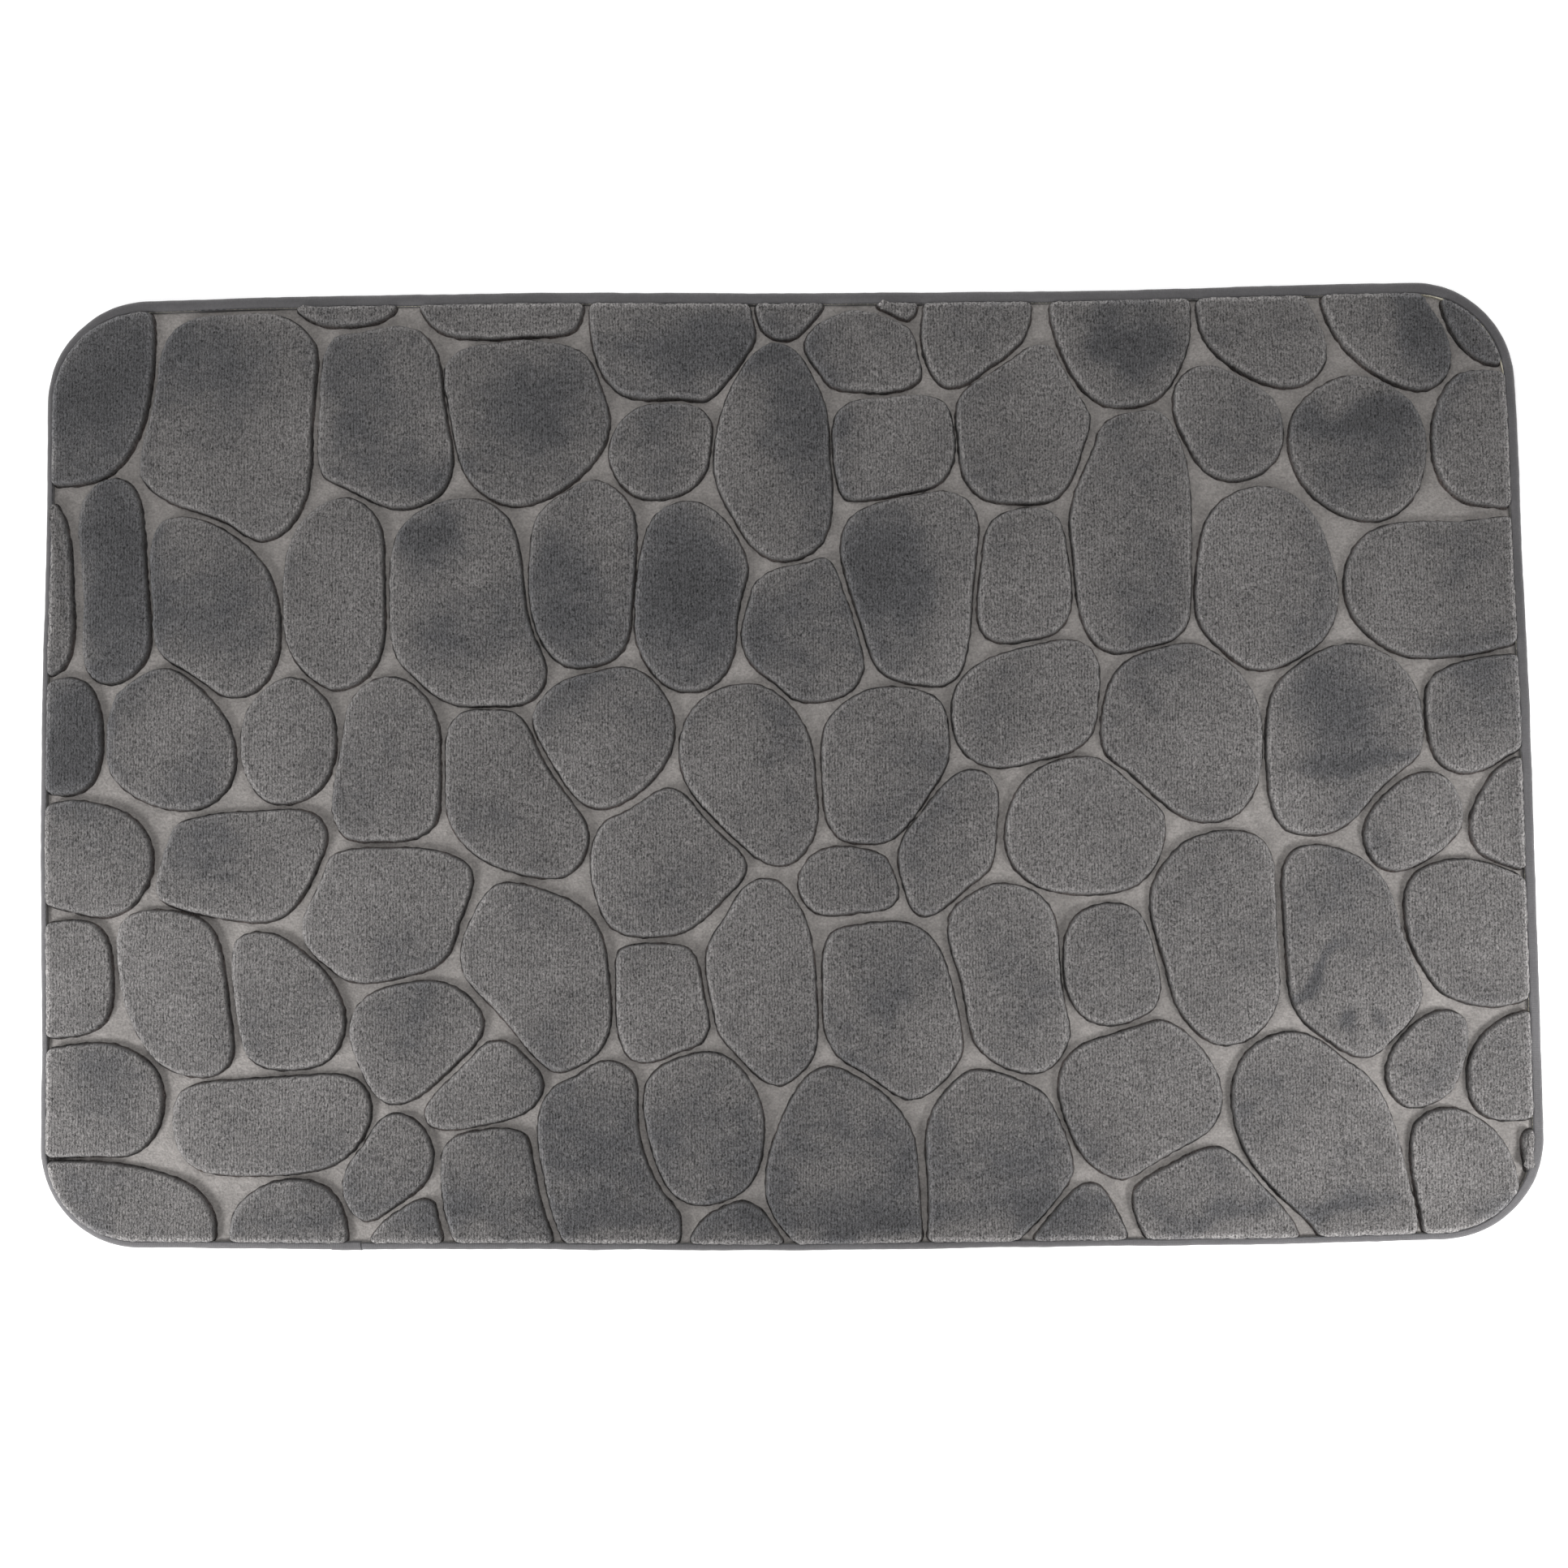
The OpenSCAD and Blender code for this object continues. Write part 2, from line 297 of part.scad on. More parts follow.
     [-162.5,-211],[-159.5,-221],[-153,-240]]];

// ---- Smooth closed curves ----

// Point i of a closed list
function at(p, i) = p[(i + len(p)) % len(p)];

// Travel direction at point i, from the chords on both sides of it
function heading(p, i) =
    let (before = at(p, i) - at(p, i - 1), after = at(p, i + 1) - at(p, i))
    let (b = norm(before), a = norm(after))
    (after / a * b + before / b * a) / (a + b);

// Point at t (0 to 1) along the stretch from point i to point i + 1
function along(p, i, t) =
    let (d = norm(at(p, i + 1) - at(p, i)))
    (1 + 2 * t) * (1 - t) * (1 - t) * at(p, i)
    + t * (1 - t) * (1 - t) * d * heading(p, i)
    + t * t * (3 - 2 * t) * at(p, i + 1)
    + t * t * (t - 1) * d * heading(p, i + 1);

// The curve, with `steps` vertices on each stretch
function curve(p, steps) =
    [for (i = [0 : len(p) - 1]) for (k = [0 : steps - 1]) along(p, i, k / steps)];

// Twice the signed area: its sign says which way round the list runs
function turn(p) =
    sign([for (i = [0 : len(p) - 1]) at(p, i).x * at(p, i + 1).y
          - at(p, i + 1).x * at(p, i).y] * [for (i = [0 : len(p) - 1]) 1]);

// Every vertex moved `gap` inwards, square to the curve
function inset(p, gap) =
    let (s = turn(p))
    [for (i = [0 : len(p) - 1])
        let (d = at(p, i + 1) - at(p, i - 1))
        at(p, i) + s * gap / norm(d) * [-d.y, d.x]];

// A pebble's design line at this mat's size
function scaled(p) = [for (q = p) [q.x * mat_length / 700, q.y * mat_width / 450]];

// ---- Flat outlines ----

// Rectangle x0..x1, y0..y1 with corners of radius r
module rounded(x0, x1, y0, y1, r) {
    difference() {
        translate([x0, y0]) square([x1 - x0, y1 - y0]);
        for (c = [[x0, y0, 1, 1], [x1, y0, -1, 1], [x0, y1, 1, -1], [x1, y1, -1, -1]])
            translate([c[0], c[1]]) mirror([c[2] < 0 ? 1 : 0, 0]) mirror([0, c[3] < 0 ? 1 : 0])
                difference() {
                    translate([-1, -1]) square([r + 1, r + 1]);
                    translate([r, r]) circle(r, $fn = 128);
                }
    }
}

// The mat's outline, `gap` inside its edge
module mat_outline(gap) {
    rounded(-mat_length / 2 + gap, mat_length / 2 - gap,
            -mat_width / 2 + gap, mat_width / 2 - gap, corner_radius - gap);
}

// The fleece's outline, grown by `grow`
module fleece_outline(grow = 0) {
    rounded(fleece[0] - grow, fleece[1] + grow, fleece[2] - grow, fleece[3] + grow,
            fleece_r + grow);
}

// All the pebbles, `gap` inside their design lines, within the fleece's outline
module pebble_outlines(gap, steps, edge_gap) {
    intersection() {
        fleece_outline(-edge_gap);
        for (p = pebbles) polygon(inset(curve(scaled(p), steps), gap));
    }
}

// ---- The bound edge ----

// Section through the edge: x outwards from a corner's centre, y up
module roll_section(skin) {
    translate([corner_radius - roll_r, roll_r]) intersection() {
        circle(roll_r - skin, $fn = 48);
        translate([0, -roll_r]) square([roll_r, roll_height]);
    }
}

// Sweeps a section round the whole edge: four sides and four corners
module round_the_edge() {
    straight_x = mat_length - 2 * corner_radius;
    straight_y = mat_width - 2 * corner_radius;
    for (q = [0 : 3]) {
        cx = (q == 0 || q == 3 ? 1 : -1) * straight_x / 2;
        cy = (q < 2 ? 1 : -1) * straight_y / 2;
        run = q % 2 == 0 ? straight_y : straight_x;
        translate([cx, cy, 0]) rotate([0, 0, q * 90]) {
            rotate_extrude(angle = 90, $fn = 128) children();
            translate([0, -run, 0]) rotate([90, 0, 0]) mirror([0, 0, 1])
                linear_extrude(run) children();
        }
    }
}

// Section of the tape: rolled round the edge, folded flat under the mat
module tape_section() {
    difference() {
        union() {
            roll_section(0);
            translate([corner_radius - 7, roll_height - tape_thickness])
                square([7 - roll_r, tape_thickness]);
            translate([corner_radius - flap_width, 0])
                square([flap_width - roll_r, tape_thickness]);
        }
        roll_section(tape_thickness);
        translate([corner_radius - stitch_inset - groove_width / 2, -1])
            square([groove_width, 1 + groove_depth]);
    }
}

module fleece_block(grow, z0, z1) {
    translate([0, 0, z0]) linear_extrude(z1 - z0) fleece_outline(grow);
}

module lap_solid() {
    translate([lap_x - lap_length / 2, -mat_width / 2 + corner_radius, 0])
        rotate([90, 0, 90]) linear_extrude(lap_length) mirror([1, 0]) difference() {
            roll_section(0);
            roll_section(lap_t);
        }
}

// One box per stitch, set out along a rounded rectangle
module stitch_row(gap) {
    r = corner_radius - gap;
    sx = mat_length - 2 * corner_radius;
    sy = mat_width - 2 * corner_radius;
    nx = floor(sx / stitch_pitch);
    ny = floor(sy / stitch_pitch);
    na = floor(r * PI / 2 / stitch_pitch);
    for (side = [-1, 1]) {
        for (i = [0 : nx - 1])
            translate([(i + 0.5) * sx / nx - sx / 2, side * (mat_width / 2 - gap), 0]) children();
        for (i = [0 : ny - 1])
            translate([side * (mat_length / 2 - gap), (i + 0.5) * sy / ny - sy / 2, 0])
                rotate([0, 0, 90]) children();
    }
    for (q = [0 : 3], i = [0 : na - 1]) {
        cx = (q == 0 || q == 3 ? 1 : -1) * sx / 2;
        cy = (q < 2 ? 1 : -1) * sy / 2;
        translate([cx, cy, 0]) rotate([0, 0, 90 * q + (i + 0.5) * 90 / na])
            translate([r, 0, 0]) rotate([0, 0, 90]) children();
    }
}

// ---- Sub-parts ----

// Quilted fleece: a thin sheet in the channels, raised into pebbles, hollow below them
module fleece_cover() {
    color([0.40, 0.41, 0.43]) difference() {
        union() {
            fleece_block(0, slab_height, channel_height);
            translate([0, 0, slab_height]) linear_extrude(shoulder_height - slab_height)
                pebble_outlines(channel_ease, 2, 0);
            translate([0, 0, slab_height]) linear_extrude(pebble_height - slab_height)
                pebble_outlines(channel_ease + shoulder_inset, 2, shoulder_inset);
        }
        translate([0, 0, slab_height - 1]) linear_extrude(pad_height - slab_height + 1)
            pebble_outlines(channel_ease + pad_inset, 1, pad_inset);
    }
}

// Foam: a slab, a bead inside the rolled edge, and a pad inside every pebble
module foam_core() {
    color([0.86, 0.84, 0.76]) union() {
        difference() {
            union() {
                translate([0, 0, tape_thickness])
                    linear_extrude(roll_height - 2 * tape_thickness) mat_outline(roll_r);
                round_the_edge() roll_section(tape_thickness);
            }
            fleece_block(0, slab_height, roll_height + 1);
            linear_extrude(backing_top) mat_outline(roll_r);
        }
        translate([0, 0, slab_height]) linear_extrude(pad_height - slab_height)
            pebble_outlines(channel_ease + pad_inset, 1, pad_inset);
    }
}

// Woven backing laid over the foam's underside, its rim held by the tape's flap
module backing_fabric() {
    color([0.20, 0.20, 0.21]) translate([0, 0, tape_thickness])
        linear_extrude(backing_top - tape_thickness) mat_outline(roll_r);
}

// Rubbery dots in staggered rows, level with the underside of the tape
module grip_dots() {
    row = dot_pitch * sqrt(3) / 2;
    in_x = mat_length / 2 - flap_width - dot_diameter;
    in_y = mat_width / 2 - flap_width - dot_diameter;
    keep = corner_radius - flap_width - dot_diameter;
    rows = floor(in_y / row);
    cols = ceil(in_x / dot_pitch);
    color([0.13, 0.13, 0.14]) for (j = [-rows : rows], i = [-cols : cols]) {
        x = (i + (j % 2 == 0 ? 0 : 0.5)) * dot_pitch;
        y = j * row;
        over = [max(0, abs(x) - in_x + keep), max(0, abs(y) - in_y + keep)];
        if (norm(over) <= keep)
            translate([x, y, 0]) cylinder(h = tape_thickness, d = dot_diameter);
    }
}

// Binding tape, rolled round the edge with its flap under the mat
module edge_binding() {
    color([0.27, 0.28, 0.30]) difference() {
        round_the_edge() tape_section();
        fleece_block(0, slab_height, roll_height + 1);
        fleece_block(seam_w, seam_z, roll_height + 1);
        lap_solid();
    }
}

// The tape's end, lapped over its start on the front edge
module binding_lap() {
    color([0.25, 0.26, 0.28]) difference() {
        lap_solid();
        fleece_block(seam_w, slab_height, roll_height + 1);
    }
}

// Stitches that hold the flap, in a shallow groove of the underside
module binding_stitches() {
    color([0.22, 0.22, 0.24]) stitch_row(stitch_inset)
        translate([-stitch_length / 2, -0.35, 0.05]) cube([stitch_length, 0.7, groove_depth - 0.05]);
}

// Seam thread, lying in the ditch between the tape and the fleece
module seam_thread() {
    color([0.18, 0.18, 0.20]) translate([0, 0, seam_z]) linear_extrude(0.4) difference() {
        fleece_outline(seam_w);
        fleece_outline(0);
    }
}

fleece_cover();
foam_core();
backing_fabric();
grip_dots();
edge_binding();
binding_lap();
binding_stitches();
seam_thread();
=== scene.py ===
"""Cushioned bath mat: quilted fleece top, foam core, non-slip backing and a bound edge."""
import math

import bpy
import numpy as np
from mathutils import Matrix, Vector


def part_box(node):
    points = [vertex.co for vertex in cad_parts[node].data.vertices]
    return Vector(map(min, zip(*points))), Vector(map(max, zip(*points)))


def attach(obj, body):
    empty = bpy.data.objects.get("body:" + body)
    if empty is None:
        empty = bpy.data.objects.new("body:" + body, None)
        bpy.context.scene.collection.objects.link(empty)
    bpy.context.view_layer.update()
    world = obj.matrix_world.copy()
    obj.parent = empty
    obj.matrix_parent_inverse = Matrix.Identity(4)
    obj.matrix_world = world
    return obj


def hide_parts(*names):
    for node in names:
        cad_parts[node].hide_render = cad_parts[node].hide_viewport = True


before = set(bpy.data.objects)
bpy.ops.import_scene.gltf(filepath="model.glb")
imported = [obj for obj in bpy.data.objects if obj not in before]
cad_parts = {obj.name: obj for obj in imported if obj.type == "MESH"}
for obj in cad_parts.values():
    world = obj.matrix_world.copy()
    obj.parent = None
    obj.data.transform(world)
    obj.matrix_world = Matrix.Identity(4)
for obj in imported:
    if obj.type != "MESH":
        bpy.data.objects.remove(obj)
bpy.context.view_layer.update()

MM = 0.001
BODY = "root"

# Lowest and highest corners of the fleece, and the tape's highest, from the frame
FLEECE_LOW, FLEECE_HIGH = (np.array(c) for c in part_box("fleece_cover"))
TAPE_HIGH = np.array(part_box("edge_binding")[1])
HALF = TAPE_HIGH[:2]
# Heights above the floor: the channels, and the ledge that a pebble's shoulder starts from
CHANNEL = 7.0 * MM
SHOULDER = 11.0 * MM
# The tape: radius of its roll, thickness, and how far its flap reaches under the mat
ROLL = TAPE_HIGH[2] / 2
TAPE = 0.8 * MM
FLAP = 14 * MM
# Corner radius of the mat, and of the fleece inside the tape
CORNER = 48 * MM
FLEECE_CORNER = CORNER - 4.5 * MM
# Width of tape that shows beside the fleece on each side
REVEAL = {
    "right": HALF[0] - FLEECE_HIGH[0],
    "left": HALF[0] + FLEECE_LOW[0],
    "back": HALF[1] - FLEECE_HIGH[1],
    "front": HALF[1] + FLEECE_LOW[1],
}


# ---------------------------------------------------------------- number fields

def drift(points, size, seed, waves=14):
    """Smooth noise, mostly from -1 to 1: a sum of plane waves of about `size` metres in
    seeded directions, the same at the same place for every piece."""
    rng = np.random.default_rng(seed)
    turn = rng.uniform(0, 2 * np.pi, waves)
    rate = 2 * np.pi / (size * rng.uniform(0.7, 1.6, waves))
    phase = rng.uniform(0, 2 * np.pi, waves)
    across = points[..., 0, None] * np.cos(turn) + points[..., 1, None] * np.sin(turn)
    return np.sin(across * rate + phase).sum(-1) / math.sqrt(waves / 2) / 1.6


def ease(x):
    """Smoothstep: 0 below 0, 1 above 1."""
    x = np.clip(x, 0, 1)
    return x * x * (3 - 2 * x)


# How far each edge of a used mat wanders, as (place along it, distance outwards), in mm
WANDER = {
    "back": [(-310, 0.0), (-260, 1.5), (-110, 2.0), (0, 0.0), (150, -1.0), (280, 1.0)],
    "front": [(-310, -1.0), (-200, 1.0), (-150, 1.0), (0, 3.0), (160, 2.0), (230, 2.0),
              (310, 0.0)],
    "right": [(-180, 1.5), (20, 1.5), (100, 0.0), (150, 0.0), (180, -1.0)],
    "left": [(-180, -1.0), (-130, -1.0), (-40, 1.0), (50, 1.0), (100, 0.0)],
}


def warp(xy):
    """Lets the mat's edges wander: each side's offset, drawn smoothly through WANDER, fades
    from the edge to nothing 60 mm inside it."""
    near = 60 * MM
    steps, blur = 200, 31
    x, y = xy[..., 0], xy[..., 1]

    def offset(side, place):
        at, by = np.array(WANDER[side], float).T * MM
        fine = np.linspace(at[0], at[-1], steps)
        line = np.pad(np.interp(fine, at, by), blur // 2, mode="edge")
        kernel = np.hanning(blur)
        return np.interp(place, fine, np.convolve(line, kernel / kernel.sum(), "valid"))

    right = ease((x - HALF[0] + near) / near) * offset("right", y)
    left = ease((-x - HALF[0] + near) / near) * offset("left", y)
    back = ease((y - HALF[1] + near) / near) * offset("back", x)
    front = ease((-y - HALF[1] + near) / near) * offset("front", x)
    return np.stack([x + right - left, y + back - front], -1)


def margin(xy):
    """Distance inside the fleece's edge, a rectangle with quarter-circle corners."""
    low, high = FLEECE_LOW[:2], FLEECE_HIGH[:2]
    over = abs(xy - (low + high) / 2) - (high - low) / 2 + FLEECE_CORNER
    return (FLEECE_CORNER - np.linalg.norm(np.maximum(over, 0), axis=-1)
            - np.minimum(over.max(-1), 0))


# ---------------------------------------------------------------- meshes

def make_piece(name, points, quads, fields=None, smooth=True, uv=None):
    """A mesh object from arrays: points (n, 3), quads (m, 4) with a repeated last corner for a
    triangle, `fields` as {name: value at each point}, uv as (m, 4, 2)."""
    points = np.asarray(points, np.float64).reshape(-1, 3)
    quads = np.asarray(quads, np.int64).reshape(-1, 4)
    three = quads[:, 2] == quads[:, 3]
    size = np.where(three, 3, 4)
    keep = np.ones(quads.shape, bool)
    keep[three, 3] = False
    mesh = bpy.data.meshes.new(name)
    mesh.vertices.add(len(points))
    mesh.vertices.foreach_set("co", points.astype(np.float32).ravel())
    loops = quads[keep]
    mesh.loops.add(len(loops))
    mesh.loops.foreach_set("vertex_index", loops.astype(np.int32))
    mesh.polygons.add(len(quads))
    start = np.concatenate([[0], np.cumsum(size)[:-1]])
    mesh.polygons.foreach_set("loop_start", start.astype(np.int32))
    mesh.polygons.foreach_set("use_smooth", np.full(len(quads), smooth))
    for key, value in (fields or {}).items():
        layer = mesh.attributes.new(key, "FLOAT", "POINT")
        layer.data.foreach_set("value", np.asarray(value, np.float32).ravel())
    if uv is not None:
        layer = mesh.uv_layers.new(name="UVMap")
        layer.data.foreach_set("uv", np.asarray(uv, np.float32)[keep].ravel())
    mesh.update(calc_edges=True)
    mesh.validate()
    piece = bpy.data.objects.new(name, mesh)
    bpy.context.scene.collection.objects.link(piece)
    return piece


def grid_quads(rows, columns, wrap_rows=False, wrap_columns=False):
    """Quads of a rows x columns grid of points numbered row by row."""
    r = np.arange(rows if wrap_rows else rows - 1)
    c = np.arange(columns if wrap_columns else columns - 1)
    r, c = (a.ravel() for a in np.meshgrid(r, c, indexing="ij"))
    r1, c1 = (r + 1) % rows, (c + 1) % columns
    corners = [(r, c), (r, c1), (r1, c1), (r1, c)]
    return np.stack([row * columns + column for row, column in corners], 1)


def triangles_of(node):
    """Corner points (n, 3, 3) of a frame node's triangles, in metres."""
    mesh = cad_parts[node].data
    mesh.calc_loop_triangles()
    co = np.empty(len(mesh.vertices) * 3, np.float32)
    mesh.vertices.foreach_get("co", co)
    corner = np.empty(len(mesh.loop_triangles) * 3, np.int32)
    mesh.loop_triangles.foreach_get("vertices", corner)
    return co.reshape(-1, 3)[corner].reshape(-1, 3, 3).astype(np.float64)


def ledge_edges():
    """The edges where an upright wall of the fleece meets the flat ledge at SHOULDER, as their
    starts (n, 2) and ends (n, 2): two corners of a wall's triangle that lie on the ledge."""
    steepest, level, step = 0.02, 0.002 * MM, 0.1 * MM
    tri = triangles_of("fleece_cover")
    normal = np.cross(tri[:, 1] - tri[:, 0], tri[:, 2] - tri[:, 0])
    upright = abs(normal[:, 2]) < steepest * np.linalg.norm(normal, axis=1)
    top = abs(tri[:, :, 2] - SHOULDER) < level
    wall = upright & (top.sum(1) == 2) & (tri[:, :, 2].min(1) < SHOULDER - step)
    tri, lone = tri[wall], np.argmin(top[wall], 1)
    rows = np.arange(len(tri))
    return tri[rows, (lone + 1) % 3, :2], tri[rows, (lone + 2) % 3, :2]


def chained(starts, ends, doublings=12):
    """Closed loops of points from loose edges. Each edge is joined to the one that starts
    nearest its end. Pointer doubling then finds the first edge of each edge's loop, and how
    many edges are left before the loop closes."""
    spot_a, spot_b = (e[:, 0] + 1j * e[:, 1] for e in (starts, ends))
    after = abs(spot_b[:, None] - spot_a[None]).argmin(1)
    own = np.arange(len(after))
    head, jump = own, after
    for _ in range(doublings):
        head = np.minimum(head, head[jump])
        jump = jump[jump]
    jump = np.where(after == head, own, after)
    rank = np.where(jump == own, 0, 1)
    for _ in range(doublings):
        rank = rank + rank[jump]
        jump = jump[jump]
    loops = [np.flatnonzero(head == first) for first in np.unique(head)]
    return [starts[mine[np.argsort(-rank[mine])]] for mine in loops]


def pebble_outlines(count=240, round_off=1.15 * MM, rounder=1.9, shortest=30 * MM):
    """The pebbles' outlines (loops, count, 2), counter-clockwise. Each of the frame's loops is
    set out evenly by its length, and its corners are rounded by a Gaussian along it, `rounder`
    times wider where it meets the tape."""
    loops = []
    for loop in chained(*ledge_edges()):
        closed = np.vstack([loop, loop[:1]])
        steps = np.linalg.norm(np.diff(closed, axis=0), axis=1)
        length = np.concatenate([[0], np.cumsum(steps)])
        if length[-1] < shortest:
            continue
        even = np.linspace(0, length[-1], count, endpoint=False)
        line = np.interp(even, length, closed[:, 0]) + 1j * np.interp(even, length, closed[:, 1])
        rate = 2 * np.pi * np.fft.fftfreq(count, length[-1] / count)
        sharp, soft = (np.fft.ifft(np.fft.fft(line) * np.exp(-(rate * r) ** 2 / 2))
                       for r in (round_off, rounder * round_off))
        at_tape = ease(1.2 - margin(np.stack([sharp.real, sharp.imag], 1)) / (7 * MM))
        line = sharp + (soft - sharp) * at_tape
        area = (line.conj() * np.roll(line, -1)).imag.sum()
        loop = np.stack([line.real, line.imag], 1)
        loops.append(loop if area > 0 else loop[::-1])
    return np.array(loops)


def inward(loops):
    """Unit normals into each closed counter-clockwise loop, from the points on both sides."""
    along = np.roll(loops, -1, 1) - np.roll(loops, 1, 1)
    normal = np.stack([-along[..., 1], along[..., 0]], -1)
    return normal / np.linalg.norm(normal, axis=-1, keepdims=True)


# Foot, wall and shoulder of a pebble: (distance inside its outline, height), in mm
WALL = [(-1.30, 6.2), (-1.08, 6.80), (-0.72, 6.95), (-0.42, 7.5), (-0.30, 8.6), (-0.24, 10.1),
        (-0.06, 11.1), (0.33, 11.75), (0.95, 12.15), (1.9, 12.42), (3.3, 12.6)]
# Rings further in, as a share of the way to the middle
INNER = [0.07, 0.16, 0.27, 0.39, 0.52, 0.66, 0.8, 0.92]

# Patches where a hand or foot has rubbed the pile dark (or, below 0, light); the long ones along
# the front are painted shade that darkens the front middle:
# (x, y, half length, half width, turn in degrees, strength), in mm
BRUSHED_AND_SHADED = [
    (-325, 185, 60, 40, 60, 0.5), (-310, 90, 22, 60, 0, 0.55), (-338, 15, 22, 34, 0, 0.6),
    (-120, 175, 46, 22, 0, 0.3), (-195, 175, 18, 34, 20, 0.35), (-160, 140, 18, 14, 0, 0.4),
    (-45, 85, 26, 44, 10, 0.55), (-100, 90, 18, 36, 0, 0.5), (-40, 200, 52, 14, 0, 0.45),
    (20, 140, 24, 46, 0, 0.35), (60, 85, 26, 30, 0, 0.45), (0, 60, 22, 24, 0, 0.4),
    (165, 195, 26, 18, 0, 0.6), (270, 160, 34, 10, 0, 0.5), (275, 140, 30, 22, 0, 0.3),
    (262, -2, 36, 7, 4, 0.55), (262, 22, 34, 16, 0, 0.32), (240, 205, 20, 16, 0, 0.35),
    (303, 205, 14, 14, 0, 0.4), (248, -104, 18, 4, 40, 0.6), (263, -123, 5, 7, 0, 0.6),
    (277, -123, 5, 7, 0, 0.55), (330, 200, 30, 30, 0, 0.3), (-150, 62, 30, 16, 0, 0.3),
    (-170, 106, 18, 12, 0, 0.5), (-150, 86, 11, 8, 0, -0.35), (-90, 30, 26, 20, 0, 0.2),
    (0, 15, 24, 20, 0, 0.25), (55, -95, 22, 24, 0, 0.3), (-235, 190, 40, 20, 0, 0.15),
    (175, 80, 24, 50, 0, 0.2), (-262, 70, 26, 30, 0, 0.2), (-330, -195, 24, 12, 0, 0.2),
    (130, -160, 20, 16, 0, 0.15), (-195, -180, 18, 22, 0, 0.25), (70, 0, 16, 16, 0, 0.2),
    (338, -215, 14, 10, 0, 0.3), (330, 20, 22, 14, 0, 0.15), (-120, -120, 24, 20, 0, 0.12),
    (322, 45, 34, 18, 0, 0.3), (0, -210, 300, 9, 0, 0.32), (262, -211, 34, 5, 0, 0.22),
    (195, -212, 30, 6, 0, 0.22), (-60, -185, 95, 34, 0, 0.24), (60, -190, 80, 30, 0, 0.22),
]

# Places where two pebbles lean together and the channel closes to a crease (or, below 0,
# stand apart): (x, y, reach along y, reach along x, how far each side leans), in mm
LEANING = [(287, -200, 22, 12, 1.0), (226, -199, 22, 18, 1.0), (228, -81, 26, 8, -0.4)]


def lean(xy):
    """How far an outline leans outwards: a smooth hump at each place of LEANING, faded out
    over the last 7 mm before the tape."""
    total = 0
    for x, y, tall, wide, amount in LEANING:
        u, v = (xy[..., 0] / MM - x) / wide, (xy[..., 1] / MM - y) / tall
        total = total + amount * MM * np.exp(-(u * u + v * v) ** 1.5)
    return total * ease((margin(xy) / MM - 2) / 5)


def brushing_and_shade(xy):
    """Darkness of the rubbed pile and of the painted shade along the front: soft-edged ellipses
    from the patch table, with a wandering edge.
    """
    total = 0.1225 * drift(xy, 70 * MM, 5)
    place = xy + 5 * MM * np.stack([drift(xy, 35 * MM, 6), drift(xy, 35 * MM, 7)], -1)
    for x, y, a, b, turn, strength in BRUSHED_AND_SHADED:
        c, s = math.cos(math.radians(turn)), math.sin(math.radians(turn))
        dx, dy = place[..., 0] - x * MM, place[..., 1] - y * MM
        u, v = (dx * c + dy * s) / (a * MM), (dy * c - dx * s) / (b * MM)
        total = total + strength * np.exp(-(u * u + v * v) ** 1.3)
    return total


def pebble_rings(loops, normal, middle, dome=0.45 * MM):
    """Rings (count, rings, around) up and over every pebble, as their flat places, heights
    and distances inside the outline: WALL up the side and over the shoulder, along the inward
    normal, then INNER rings drawn towards the middle over a slightly domed top."""
    inside, height = np.array(WALL).T * MM
    walls = loops[:, None] + inside[:, None, None] * normal[:, None]
    rim = walls[:, -1:]
    share = np.array(INNER)[:, None]
    tops = rim + (middle[:, None] - rim) * share[..., None]
    reach = np.linalg.norm(rim - middle[:, None], axis=-1)
    flat = np.zeros(loops.shape[:1] + (1, loops.shape[1]))
    z = np.concatenate([height[:, None] + flat,
                        height[-1] + dome * ease(share * 1.6) + flat], 1)
    depth = np.concatenate([inside[:, None] + flat, inside[-1] + reach * share], 1)
    return np.concatenate([walls, tops], 1), z, depth


def roughened(xy, z, depth, normal):
    """The rings with the cushion's unevenness: a slow swell on top, tufts that fray the
    shoulder, and a foot that wanders. Each is a drift, faded in by height or depth."""
    normal = normal[:, None]
    lift = ease((z - 9 * MM) / (3 * MM))
    z = z + lift * (0.28 * MM * drift(xy, 38 * MM, 11) + 0.07 * MM * drift(xy, 7 * MM, 12))
    frayed = ease((z - 7 * MM) / (2 * MM)) * ease(1.3 - depth / (3 * MM))
    fray = frayed * (0.16 * drift(xy, 2.6 * MM, 13) + 0.14 * drift(xy, 9 * MM, 14)) * MM
    xy = xy + fray[..., None] * normal
    z = z + frayed * 0.08 * MM * drift(xy, 2.2 * MM, 15)
    foot = ease((7.4 * MM - z) / (0.8 * MM))
    return xy + (foot * 0.22 * MM * drift(xy, 5 * MM, 16))[..., None] * normal, z


